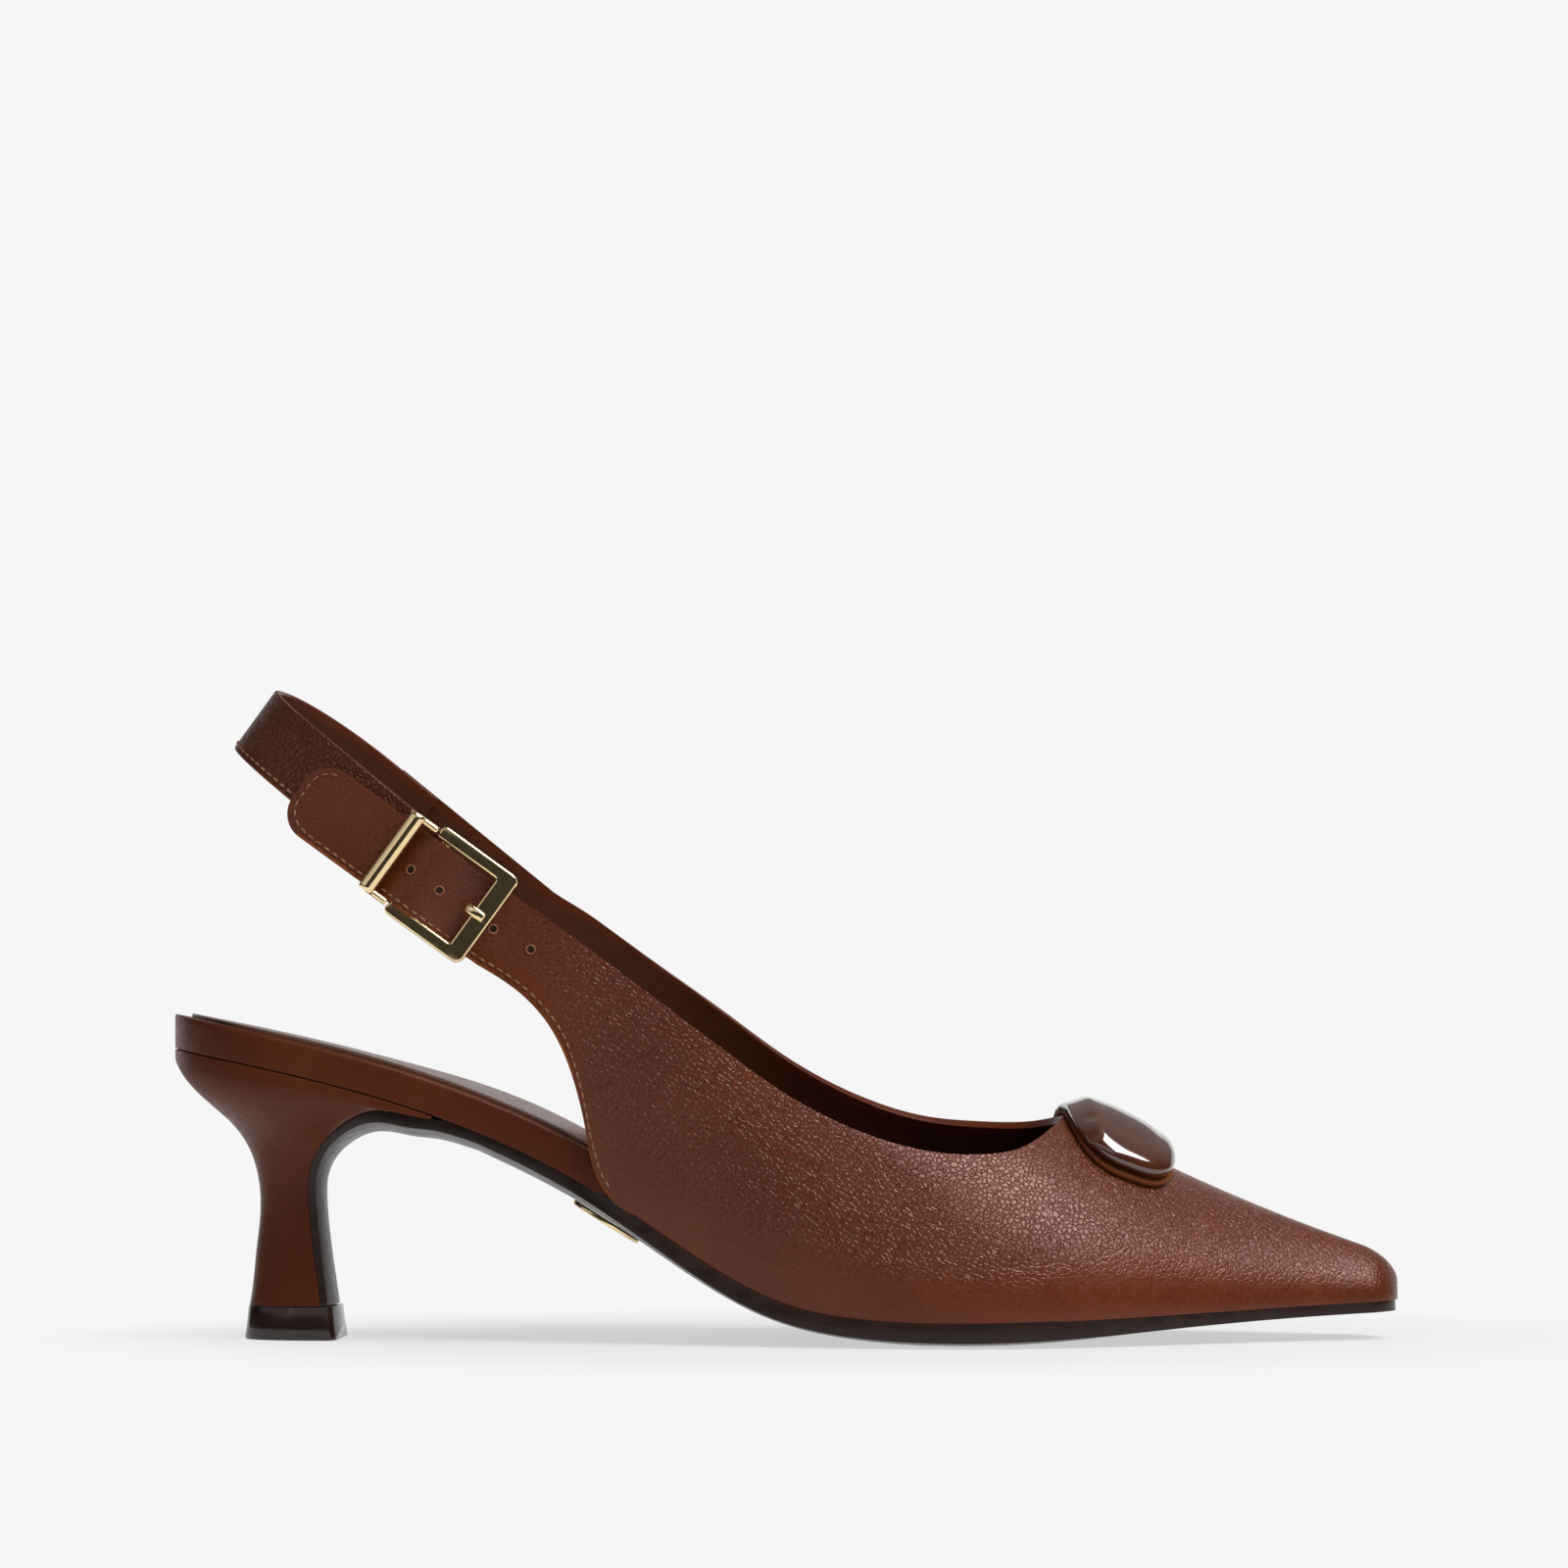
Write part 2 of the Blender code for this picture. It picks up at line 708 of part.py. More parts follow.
def end_spaced(back, front, count):
    """Stations close together at both rounded ends."""
    turn = np.linspace(0, math.pi, count)
    even = np.linspace(0, 1, count)
    return back + (front - back) * (0.62 * (1 - np.cos(turn)) / 2 + 0.38 * even)


def make_board():
    back, front = BACK + 0.00005, TIP - SHELL - 0.00005
    rings = [
        slab_ring(
            x, board_edge(x, LATERAL), board_edge(x, MEDIAL), feather(x), board_top(x), BOARD_EDGE,
            high_tilt=arch_tilt(x),
        )
        for x in end_spaced(back, front, 42)
    ]
    loft("insole_board", rings, LEATHER)


def make_pad():
    back, front = BACK + PAD_INSET, place(0.93)
    rings = []
    for x in end_spaced(back + 0.00005, front, 34):
        low = board_top(x) + GAP
        high = low + PAD_THICK * slope_factor(feather, x)
        left = grown_edge(x, LATERAL, -PAD_INSET)
        right = grown_edge(x, MEDIAL, -PAD_INSET)
        tilt = arch_tilt(x)
        rings.append(slab_ring(x, left, right, low, high, PAD_THICK * 0.6, 5, tilt, tilt))
    loft("insole_pad", rings, DARK_LEATHER)


def breast_points():
    """The heel-side face of the flap, from the top lift over the apex to the waist."""
    seat = feather(BACK)
    runs = place(BREAST[:, 0])
    levels = BREAST[:, 1] * seat
    levels[0] = LIFT_THICK + GAP
    return runs, levels, BREAST[:, 2] * HALF_BALL


def make_sole():
    """The sole's rings lie square to its top face, from the toe back and down the breast."""
    runs, levels, halves = breast_points()
    fore = TIP - 0.0007 - (TIP - place(WAIST_END)) * np.linspace(0, 1, 34) ** 1.6
    xs = np.concatenate([fore, runs[::-1]])
    zs = np.concatenate([feather(fore) - GAP, levels[::-1]])
    lateral = np.concatenate([sole_edge(fore, LATERAL), -halves[::-1] + 0.0003])
    medial = np.concatenate([sole_edge(fore, MEDIAL), halves[::-1] - 0.0003])
    dx, dz = np.gradient(xs), np.gradient(zs)
    length = np.hypot(dx, dz)
    down_x, down_z = -dz / length, dx / length
    across = np.array([-1, -0.85, -0.6, -0.3, 0, 0.3, 0.6, 0.85, 1])
    rings = []
    for k in range(len(xs)):
        thick = sole_thickness(xs[k])
        crown = spline(share(xs[k]), SOLE_SHARES[:, 0], SOLE_SHARES[:, 2])
        middle, half = (medial[k] + lateral[k]) / 2, (medial[k] - lateral[k]) / 2
        depth = thick * (1 - crown * np.abs(across) ** 3)
        top = np.zeros(5)
        depths = np.concatenate([top, depth])
        ys = np.concatenate([middle + half * np.linspace(1, -1, 5), middle + half * across])
        ring_x = xs[k] + down_x[k] * depths
        ring_z = np.maximum(zs[k] + down_z[k] * depths, 0)
        rings.append(np.stack([ring_x, ys, ring_z], 1))
    loft("outsole", rings, SOLE_BROWN)


def sole_thickness(x):
    """Thin at the toe and waist, full at the ball, thinnest down the breast."""
    full = SOLE_THICK * spline(share(x), SOLE_SHARES[:, 0], SOLE_SHARES[:, 1])
    flap = ease(share(x), 0.175, 0.125)
    return full * (1 - flap) + FLAP_THICK * flap


def sole_edge(x, side):
    """The sole stands a little proud of the upper, and inside the board's edge in the waist."""
    proud = grown_edge(x + 0.0007, side, SHELL + SOLE_MARGIN)
    waist = board_edge(x, side) - side * SOLE_WAIST_INSET
    behind = ease(share(x), 0.38, 0.33)
    return proud * (1 - behind) + waist * behind


# Heel and top lift

def make_heel():
    """D-shaped rings between the breast and the back, the last ones taking the board's outline."""
    runs, levels, halves = (column[:-1] for column in breast_points())
    back_x = place(BACK_CURVE[:, 0])
    back_z = BACK_CURVE[:, 1] * feather(BACK)
    back_z[0] = levels[0]
    dx, dz = np.gradient(runs), np.gradient(levels)
    length = np.hypot(dx, dz)
    front_x = runs - dz / length * GAP
    front_z = levels + dx / length * GAP
    front_z[0] = levels[0]
    count = len(runs)
    front_x = np.append(front_x, front_x[-1] + 0.0004)
    front_z = np.append(front_z, feather(front_x[-1]) - GAP)
    back_x = np.append(back_x, BACK + 0.0001)
    back_z = np.append(back_z, feather(back_x[-1]) - GAP)
    halves = np.append(halves, abs(board_edge(front_x[-1], MEDIAL)))
    turn = np.linspace(0, math.pi / 2, 9)
    rings = []
    for k in range(count + 1):
        v = k / count
        e = np.sin(turn)
        x = front_x[k] + (back_x[k] - front_x[k]) * e
        chord = front_z[k] + (back_z[k] - front_z[k]) * e
        top_chord = front_z[-1] + (back_z[-1] - front_z[-1]) * (x - front_x[-1]) / (
            back_x[-1] - front_x[-1]
        )
        z = chord + (feather(x) - GAP - top_chord) * ease(v, 0.6, 1.0)
        shape = halves[k] * (1 - e**2.3) ** (1 / 2.3)
        seat = ease(v, 0.55, 0.95)
        ring = []
        for side in (LATERAL, MEDIAL):
            edge = board_edge(np.maximum(x, BACK + 0.0001), side)
            y = side * shape * (1 - seat) + edge * seat
            points = np.stack([x, y, z], 1)
            ring.append(points if side == LATERAL else points[::-1][1:])
        rings.append(np.concatenate(ring))
    loft("heel", rings, LEATHER)


def make_lift():
    """Flares down from the heel and the flap together, with a flat base."""
    back = place(BACK_CURVE[0, 0]) - 0.0002
    front = place(BREAST[0, 0]) + FLAP_THICK + 0.0001
    turn = np.linspace(0, math.pi / 2, 9)
    rings = []
    for level, spread in ((0, 0.0008), (0.0004, 0.0010), (LIFT_THICK, 0)):
        e = np.sin(turn)
        x = front + spread * 0.8 - (front - back + 1.6 * spread) * e
        y = (LIFT_WIDTH / 2 + spread) * (1 - e**2.4) ** (1 / 2.4)
        outer = np.stack([x, -y, np.full(len(x), level)], 1)
        inner = np.stack([x, y, np.full(len(x), level)], 1)[::-1][1:]
        rings.append(np.concatenate([outer, inner]))
    loft("top_lift", rings, SOLE_BROWN)


# Buckle

def flat_outline(points, name, thickness, bevel, material):
    """A flat closed outline given a thickness and bevelled edges."""
    data = bpy.data.curves.new(name, "CURVE")
    data.dimensions = "2D"
    data.fill_mode = "BOTH"
    data.extrude = thickness / 2
    line = data.splines.new("POLY")
    line.points.add(len(points) - 1)
    for spot, (x, y) in zip(line.points, points):
        spot.co = (x, y, 0, 1)
    line.use_cyclic_u = True
    thing = add(name, data, material)
    weld = thing.modifiers.new("weld", "WELD")
    weld.merge_threshold = 1e-5
    edge = thing.modifiers.new("edge", "BEVEL")
    edge.width = bevel
    edge.segments = 2
    edge.limit_method = "ANGLE"
    return thing


def rod(name, points, radius, material, radii=None):
    """A round wire along points, with filled caps."""
    data = bpy.data.curves.new(name, "CURVE")
    data.dimensions = "3D"
    data.bevel_depth = radius
    data.bevel_resolution = 2
    data.use_fill_caps = True
    line = data.splines.new("POLY")
    line.points.add(len(points) - 1)
    for k, point in enumerate(points):
        line.points[k].co = (*point, 1)
        line.points[k].radius = radii[k] if radii else 1
    return add(name, data, material)


def arc(centre, radius, start, end, count):
    turn = np.radians(np.linspace(start, end, count))
    return [(centre[0] + radius * math.cos(a), centre[1] + radius * math.sin(a)) for a in turn]


def make_frame():
    """U-shaped frame: two rails and the front bar, with round outer corners."""
    half = FRAME_WIDTH / 2
    inside = half - FRAME_RAIL
    back = -FRAME_FRONT - FRAME_LENGTH
    front = -FRAME_FRONT
    bar = front - FRAME_BAR
    corner = FRAME_CORNER
    tip = FRAME_RAIL / 2
    outline = (
        arc((back + tip, half - tip), tip, 180, 90, 5)
        + arc((front - corner, half - corner), corner, 90, 0, 5)
        + arc((front - corner, -half + corner), corner, 0, -90, 5)
        + arc((back + tip, -half + tip), tip, -90, -180, 5)
        + [(back + tip * 0.3, -inside), (bar, -inside), (bar, inside), (back + tip * 0.3, inside)]
    )
    thing = flat_outline(outline, "buckle_frame", FRAME_THICK, 0.0005, GOLD)
    spot = strap_point(0, FRAME_MIDDLE, -FRAME_DEPTH)
    thing.matrix_world = strap_matrix(spot)


def make_bar():
    inside = FRAME_WIDTH / 2 - FRAME_RAIL - GAP
    ends = [
        strap_point(-BAR_PLACE, FRAME_MIDDLE - inside, -BAR_DEPTH),
        strap_point(-BAR_PLACE, FRAME_MIDDLE + inside, -BAR_DEPTH),
    ]
    rod("buckle_bar", ends, BAR_RADIUS, GOLD)


def make_keeper():
    """The keeper: a thick bar over the strap end with two thin arms to the frame."""
    half = FRAME_WIDTH * KEEPER_SHARE
    arm_end = -FRAME_FRONT - FRAME_LENGTH - GAP
    depth = FACE + GAP + KEEPER_RADIUS
    thin = KEEPER_ARM_RADIUS / KEEPER_RADIUS
    route = [(arm_end, 1, thin), (-KEEPER_PLACE + 0.0012, 1, thin), (-KEEPER_PLACE, 0.98, 1)]
    route += [(-KEEPER_PLACE, -0.98, 1), (-KEEPER_PLACE + 0.0012, -1, thin), (arm_end, -1, thin)]
    points = [strap_point(a, FRAME_MIDDLE + s * half, -depth) for a, s, _ in route]
    rod("buckle_keeper", points, KEEPER_RADIUS, GOLD, [r for _, _, r in route])


def make_prong():
    """Under the strap end from the middle bar, up through its hole and over the front bar."""
    start = BAR_PLACE - BAR_RADIUS - GAP
    over = FACE + 2 * GAP + FRAME_THICK + PRONG_RADIUS
    hole = HOLE_IN_USE
    route = [
        (start, BAR_DEPTH - 0.0003),
        (start - 0.0030, FACE - 0.0015),
        (hole + 0.0040, FACE - 0.0023),
        (hole + 0.0012, FACE - 0.0025),
        (hole + 0.0003, FACE - 0.0015),
        (hole - 0.0001, FACE - 0.0001),
        (hole - 0.0005, FACE + 0.0015),
        (hole - 0.0014, over - 0.0004),
        (hole - 0.0028, over),
        (hole - 0.0048, over),
    ]
    points = [strap_point(-a, FRAME_MIDDLE, -y) for a, y in route]
    rod("buckle_prong", points, PRONG_RADIUS, GOLD)


# Ornament and its leather band, both lying on the ridge of the vamp

def vamp_frame(x, arc_share):
    """Point and outward normal of the vamp's skin; arc_share runs from -1 to 1 across the ridge."""
    side = LATERAL if arc_share < 0 else MEDIAL
    t = 1 - abs(arc_share)
    step = 0.0005
    here = last_section(x, t, side)
    along = last_section(x + step, t, side) - last_section(x - step, t, side)
    lower = last_section(x, max(t - 0.01, 0), side)
    across = (here - lower) * -side
    if abs(arc_share) < 1e-9:
        across = np.array([0, 1, 0])
    normal = np.cross(along, across)
    return here, normal / np.linalg.norm(normal)


def domed(name, centre, length, width, low, high, power, material, spread):
    """A closed pillow over an oval on the vamp: a top and an underside, both height fields."""
    around = 28
    turns = np.linspace(0, 2 * math.pi, around, endpoint=False)
    half_girth = 0.040

    def spot(r, turn, height):
        c, s = math.cos(turn), math.sin(turn)
        x = centre + length / 2 * r * abs(c) ** (2 / power) * (1 if c > 0 else -1)
        y = width / 2 * r * abs(s) ** (2 / power) * (1 if s > 0 else -1)
        base, normal = vamp_frame(x, y / half_girth)
        return base + normal * height

    above = [[spot(r, turn, high(r, turn)) for turn in turns] for r in spread]
    under = [[spot(r, turn, low(r, turn)) for turn in turns] for r in spread]
    loft(name, above + under[::-1], material)


def make_ornament():
    centre = place(THROAT) + ORNAMENT_LENGTH * ORNAMENT_FORWARD
    band_top = GAP + BAND_THICK

    def ornament_top(r, turn):
        dome = max(1 - r**2.6, 0) ** 0.5
        return band_top + GAP + ORNAMENT_RIM + (ORNAMENT_THICK - ORNAMENT_RIM) * dome

    def ornament_low(r, turn):
        vault = ORNAMENT_VAULT * max(0.0, -math.cos(turn)) ** 2 * ease(r, 0.4, 1.0)
        return band_top + GAP + vault

    def band_high(r, turn):
        return band_top

    def band_low(r, turn):
        return GAP

    length, width = ORNAMENT_LENGTH, ORNAMENT_WIDTH
    rounded = (0.02, 0.25, 0.48, 0.68, 0.83, 0.93, 0.985, 1.0)
    flat = (0.02, 0.25, 0.5, 0.75, 1.0)
    domed(
        "ornament", centre, length, width, ornament_low, ornament_top, ORNAMENT_POWER, PATENT, rounded
    )
    domed(
        "ornament_band", centre + BAND_MARGIN * 0.2, length, width + 2 * BAND_MARGIN,
        band_low, band_high, ORNAMENT_POWER, RAW_EDGE, flat,
    )


def make_plaque():
    """Oval plate under the waist of the sole."""
    x = place(0.362)
    z = feather(x) - GAP
    step = 0.001
    slope = float(feather(x + step) - feather(x - step)) / (2 * step)
    tangent = Vector((1, 0, slope)).normalized()
    across = Vector((0, 1, 0))
    down = across.cross(tangent)
    depth = sole_thickness(x) + GAP
    middle = (sole_edge(x, LATERAL) + sole_edge(x, MEDIAL)) / 2
    count = 28
    turn = np.linspace(0, 2 * math.pi, count, endpoint=False)
    outline = [(PLAQUE_LENGTH / 2 * math.cos(a), PLAQUE_WIDTH / 2 * math.sin(a)) for a in turn]
    thing = flat_outline(outline, "shank_plaque", PLAQUE_THICK, 0.0003, GOLD)
    origin = Vector((x, middle, z)) + down * (depth + PLAQUE_THICK / 2)
    axes = Matrix((tangent, across, tangent.cross(across))).transposed().to_4x4()
    thing.matrix_world = Matrix.Translation(origin) @ axes


make_upper()
make_sling()
make_board()
make_pad()
make_sole()
make_heel()
make_lift()
make_frame()
make_bar()
make_keeper()
make_prong()
make_ornament()
make_plaque()
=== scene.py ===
# %% [markdown]
# # A slingback pump, dressed around its CAD frame
#
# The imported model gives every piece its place. This script makes the surfaces that a
# photographer would see: grained leather, a wrapped board, a covered heel, a patent ornament
# and a polished buckle. Each shape is a formula over a grid of numbers, worked out with numpy.
# Units are metres, +X runs to the toe, -Y to the outer side with the buckle, +Z up.

import math

import bpy
import numpy as np
from mathutils import Matrix


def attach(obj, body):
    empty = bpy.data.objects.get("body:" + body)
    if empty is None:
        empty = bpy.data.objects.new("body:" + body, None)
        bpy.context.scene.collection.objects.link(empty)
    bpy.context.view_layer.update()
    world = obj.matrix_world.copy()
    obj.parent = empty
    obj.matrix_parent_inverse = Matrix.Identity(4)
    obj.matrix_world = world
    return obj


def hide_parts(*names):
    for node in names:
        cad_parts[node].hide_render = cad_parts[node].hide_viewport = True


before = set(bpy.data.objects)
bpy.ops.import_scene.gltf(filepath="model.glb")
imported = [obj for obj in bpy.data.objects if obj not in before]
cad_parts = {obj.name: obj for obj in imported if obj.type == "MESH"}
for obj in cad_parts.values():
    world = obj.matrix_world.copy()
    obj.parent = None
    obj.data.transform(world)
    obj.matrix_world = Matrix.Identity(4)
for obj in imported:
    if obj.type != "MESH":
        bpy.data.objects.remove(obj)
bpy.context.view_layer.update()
print("nodes in the frame:", ", ".join(sorted(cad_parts)))

# %% [markdown]
# ## The last
#
# A shoe is built round a last, a solid foot form. Its bottom outline, its heel pitch and its
# sections decide the board, the sole and the upper, so they are described first and once.
# A few listed rows go through a natural cubic spline, which bends no more than it must.

# %% Sizes of the last
LENGTH = 0.256
BALL_WIDTH = 0.0715
SEAT_HEIGHT = 0.0560
TOE_SPRING = 0.0034
INSTEP = 0.0412
HEEL_ROUND = 0.0225
TOE_ROUND = 0.0050
NOSE_DEPTH = 0.0075
NOSE_DROP = 0.0050
GAP = 0.0003
WALL = 0.0018
SOLE_THICK = 0.0046
BACK, TIP = -LENGTH / 2, LENGTH / 2
HALF_BALL = BALL_WIDTH / 2
SHELL = GAP + WALL
LATERAL, MEDIAL = -1, 1
STEP = 0.0005
HAIR = 0.0001

BOTTOM = np.array([
    # station, outer, inner, pitch, spring
    (0.000, 0.62, 0.62, 1.000, 0.00),
    (0.080, 0.650, 0.640, 0.922, 0.00),
    (0.172, 0.650, 0.610, 0.815, 0.00),
    (0.250, 0.610, 0.530, 0.690, 0.00),
    (0.310, 0.600, 0.465, 0.564, 0.00),
    (0.370, 0.620, 0.450, 0.404, 0.00),
    (0.430, 0.690, 0.510, 0.221, 0.00),
    (0.490, 0.800, 0.640, 0.076, 0.00),
    (0.550, 0.910, 0.800, 0.016, 0.00),
    (0.620, 0.990, 0.955, 0.000, 0.00),
    (0.680, 0.975, 1.000, 0.000, 0.06),
    (0.740, 0.860, 0.945, 0.000, 0.21),
    (0.810, 0.640, 0.780, 0.000, 0.40),
    (0.880, 0.410, 0.555, 0.000, 0.62),
    (0.940, 0.235, 0.360, 0.000, 0.81),
    (1.000, 0.100, 0.185, 0.000, 1.00),
])

SECTIONS = np.array([
    # station, rise, outer belly, inner belly, shoulder
    (0.200, 3.10, 0.150, 0.420, 1.16),
    (0.380, 2.55, 0.175, 0.400, 1.12),
    (0.500, 1.88, 0.085, 0.200, 0.74),
    (0.580, 1.47, 0.035, 0.060, 0.60),
    (0.660, 1.19, 0.028, 0.030, 0.53),
    (0.726, 1.00, 0.025, 0.025, 0.51),
    (0.820, 0.702, 0.018, 0.018, 0.50),
    (0.910, 0.438, 0.012, 0.012, 0.50),
    (1.000, 0.210, 0.006, 0.006, 0.50),
])
BELLY_LEVEL = 0.45
RIDGE_DROP = 0.02


def spline(at, xs, ys):
    """Natural cubic spline: pieces of third degree whose slope and bend agree where they meet."""
    at, xs, ys = (np.asarray(v, float) for v in (at, xs, ys))
    step = np.diff(xs)
    slope = np.diff(ys) / step
    count = len(xs)
    matrix = np.eye(count)
    right = np.zeros(count)
    inner = np.arange(1, count - 1)
    matrix[inner, inner - 1] = step[:-1]
    matrix[inner, inner] = 2 * (step[:-1] + step[1:])
    matrix[inner, inner + 1] = step[1:]
    right[inner] = 6 * np.diff(slope)
    bend = np.linalg.solve(matrix, right)
    held = np.clip(at, xs[0], xs[-1])
    i = np.clip(np.searchsorted(xs, held) - 1, 0, count - 2)
    h, left, far = step[i], held - xs[i], xs[i + 1] - held
    curve = (
        (bend[i] * far**3 + bend[i + 1] * left**3) / (6 * h)
        + (ys[i] / h - bend[i] * h / 6) * far
        + (ys[i + 1] / h - bend[i + 1] * h / 6) * left
    )
    first = slope[0] - step[0] * bend[1] / 6
    last = slope[-1] + step[-1] * bend[-2] / 6
    return curve + np.where(at < held, first, last) * (at - held)


def share(x):
    """Station of a place: its distance from the back as a share of the length."""
    return (np.asarray(x, float) - BACK) / LENGTH


def place(station):
    """Place along X of a station."""
    return BACK + np.asarray(station, float) * LENGTH


def ease(value, start, end):
    """Smooth step: 3t^2 - 2t^3, with t running from 0 at start to 1 at end."""
    t = np.clip((np.asarray(value, float) - start) / (end - start), 0, 1)
    return t * t * (3 - 2 * t)


def quarter_round(depth, radius):
    """Height of a quarter circle, sqrt(1 - (1 - depth / radius)^2)."""
    t = np.clip(1 - np.asarray(depth, float) / radius, 0, 1)
    return np.sqrt(1 - t * t)


def arch(across, power):
    """Height of a quarter of a superellipse: (1 - across^p)^(1/p)."""
    return (1 - across**power) ** (1 / power)


def superellipse(turn, power):
    """Its point at an angle: |cos|^(2/p) and |sin|^(2/p), with the signs of cos and sin."""
    c, s = np.cos(turn), np.sin(turn)
    return np.sign(c) * np.abs(c) ** (2 / power), np.sign(s) * np.abs(s) ** (2 / power)


def unit(vectors):
    """Vectors divided by their lengths."""
    return vectors / np.maximum(np.linalg.norm(vectors, axis=-1, keepdims=True), 1e-12)


def left_of(xs, ys):
    """Unit normal of a flat line: its direction turned a quarter to the left."""
    dx, dy = np.gradient(xs), np.gradient(ys)
    length = np.hypot(dx, dy)
    return -dy / length, dx / length


def run_along(points):
    """Distance run along a line of points, which is 0 at the first one."""
    return np.append(0, np.cumsum(np.linalg.norm(np.diff(points, axis=0), axis=1)))


def resampled(at, run, points, through=spline):
    """A line of points read at other distances, each column by a spline or straight pieces."""
    return np.stack([through(at, run, column) for column in points.T], 1)


def placed(origin, first, second, third):
    """A matrix that turns x, y and z into three directions and moves them to an origin."""
    turn = Matrix(np.stack([first, second, third], 1).tolist()).to_4x4()
    return Matrix.Translation(np.asarray(origin).tolist()) @ turn


def read(table, column, x):
    """A column of a table of stations, read at places along X through a spline."""
    return spline(share(x), table[:, 0], table[:, column])


def feather(x):
    """Level of the last's bottom: sole, then heel pitch and toe spring on top of it."""
    return SOLE_THICK + GAP + read(BOTTOM, 3, x) * SEAT_HEIGHT + read(BOTTOM, 4, x) * TOE_SPRING


def board_edge(x, side):
    """Y of the board's edge: the outline's half widths times a quarter circle at each end."""
    outer = read(BOTTOM, 1, x) * HALF_BALL
    inner = read(BOTTOM, 2, x) * HALF_BALL
    ends = quarter_round(x - BACK, HEEL_ROUND) * quarter_round(TIP - SHELL - x, TOE_ROUND)
    return (inner - outer) / 2 + side * (inner + outer) / 2 * ends


def swing(x):
    """Y of the middle line of the bottom."""
    return (read(BOTTOM, 2, x) - read(BOTTOM, 1, x)) / 2 * HALF_BALL


def grown_edge(x, side, grow):
    """Y of the board's edge moved out by grow along the outline's normal in plan."""
    turn = np.linspace(0, math.pi, 1200)
    xs = (BACK + TIP - SHELL) / 2 - (LENGTH - SHELL) / 2 * np.cos(turn)
    ys = board_edge(xs, side)
    out_x, out_y = left_of(xs, ys)
    return np.interp(x, xs + side * out_x * grow, ys + side * out_y * grow)


def ridge_level(x):
    """Level of the last's ridge: feather line plus rise, rounded down at the nose."""
    nose = NOSE_DROP * (1 - quarter_round(TIP - x, NOSE_DEPTH))
    return feather(x) + read(SECTIONS, 1, x) * INSTEP - nose


def last_section(x, t, side):
    """Skin of the last: a cubic Bezier arch over t from the feather line (0) to the ridge (1).

    Its four control points are the edge, the belly, the shoulder and the ridge.
    """
    x, t = np.broadcast_arrays(np.asarray(x, float), np.asarray(t, float))
    base = feather(x)
    rise = ridge_level(x) - base
    middle = swing(x)
    edge = grown_edge(x, side, SHELL)
    half = np.abs(edge - middle)
    fade = quarter_round(TIP - x, TOE_ROUND)
    belly = edge + side * read(SECTIONS, 2 if side == LATERAL else 3, x) * HALF_BALL * fade
    shoulder = middle + side * read(SECTIONS, 4, x) * half
    a, b, c, d = (1 - t) ** 3, 3 * (1 - t) ** 2 * t, 3 * (1 - t) * t**2, t**3
    y = a * edge + b * belly + c * shoulder + d * middle
    z = base + rise * (b * BELLY_LEVEL + c * (1 - RIDGE_DROP) + d)
    return np.stack([x, y, z], -1)


print("last: seat at %.1f mm, instep ridge at %.1f mm" % (
    feather(BACK) * 1000, ridge_level(place(0.726)) * 1000))

# %% [markdown]
# ## Putting a grid into a mesh
#
# A grid of points, rows by columns, becomes a mesh with one four-sided face between each four
# neighbours. `foreach_set` hands whole arrays to Blender at once, which is far quicker than a
# loop over vertices. Grids that share a border are welded afterwards.


# %% Mesh helpers
def quads(rows, columns, flip=False, around=False, offset=0):
    """Four corners of each face of a grid; around joins the last column to the first."""
    wide = columns if around else columns - 1
    i, j = np.meshgrid(np.arange(rows - 1), np.arange(wide), indexing="ij")
    a = i * columns + j
    b = i * columns + (j + 1) % columns
    faces = np.stack([a, a + columns, b + columns, b], -1).reshape(-1, 4) + offset
    return faces[:, ::-1] if flip else faces


def into_scene(name, data):
    """A new object in the scene that holds the data."""
    thing = bpy.data.objects.new(name, data)
    bpy.context.scene.collection.objects.link(thing)
    return thing


def smooth_piece(name, mesh, materials, weld):
    """A smooth shaded object with its finishes; points closer than weld become one."""
    for material in materials:
        mesh.materials.append(material)
    piece = into_scene(name, mesh)
    if weld:
        piece.modifiers.new("weld", "WELD").merge_threshold = weld
    mesh.shade_smooth()
    return piece


def mesh_from(name, points, faces, materials, weld=1e-6):
    """A mesh object from an array of points and an array of four-cornered faces."""
    mesh = bpy.data.meshes.new(name)
    mesh.vertices.add(len(points))
    mesh.vertices.foreach_set("co", np.asarray(points, np.float32).ravel())
    mesh.loops.add(faces.size)
    mesh.loops.foreach_set("vertex_index", faces.astype(np.int32).ravel())
    mesh.polygons.add(len(faces))
    mesh.polygons.foreach_set("loop_start", np.arange(len(faces), dtype=np.int32) * 4)
    mesh.update(calc_edges=True)
    mesh.validate()
    return smooth_piece(name, mesh, materials, weld)


def skin(name, grids, materials):
    """One piece from several (grid, flip, around) surfaces."""
    points, faces, offset = [], [], 0
    for grid, flip, around in grids:
        rows, columns = grid.shape[:2]
        points.append(grid.reshape(-1, 3))
        faces.append(quads(rows, columns, flip, around, offset))
        offset += rows * columns
    return mesh_from(name, np.concatenate(points), np.concatenate(faces), materials)


def capped(rings):
    """Rings with a shrunken copy at each end, so that the ends close to a point."""
    first, last = rings[:1].mean(1, keepdims=True), rings[-1:].mean(1, keepdims=True)
    shares = np.array([0.0, 0.5, 0.9])[:, None, None]
    start = first + (rings[:1] - first) * shares
    end = last + (rings[-1:] - last) * shares[::-1]
    return np.concatenate([start, rings, end])


def ring_piece(name, rings, materials):
    """A closed piece from rings, its ends drawn together."""
    return skin(name, [(capped(rings), False, True)], materials)


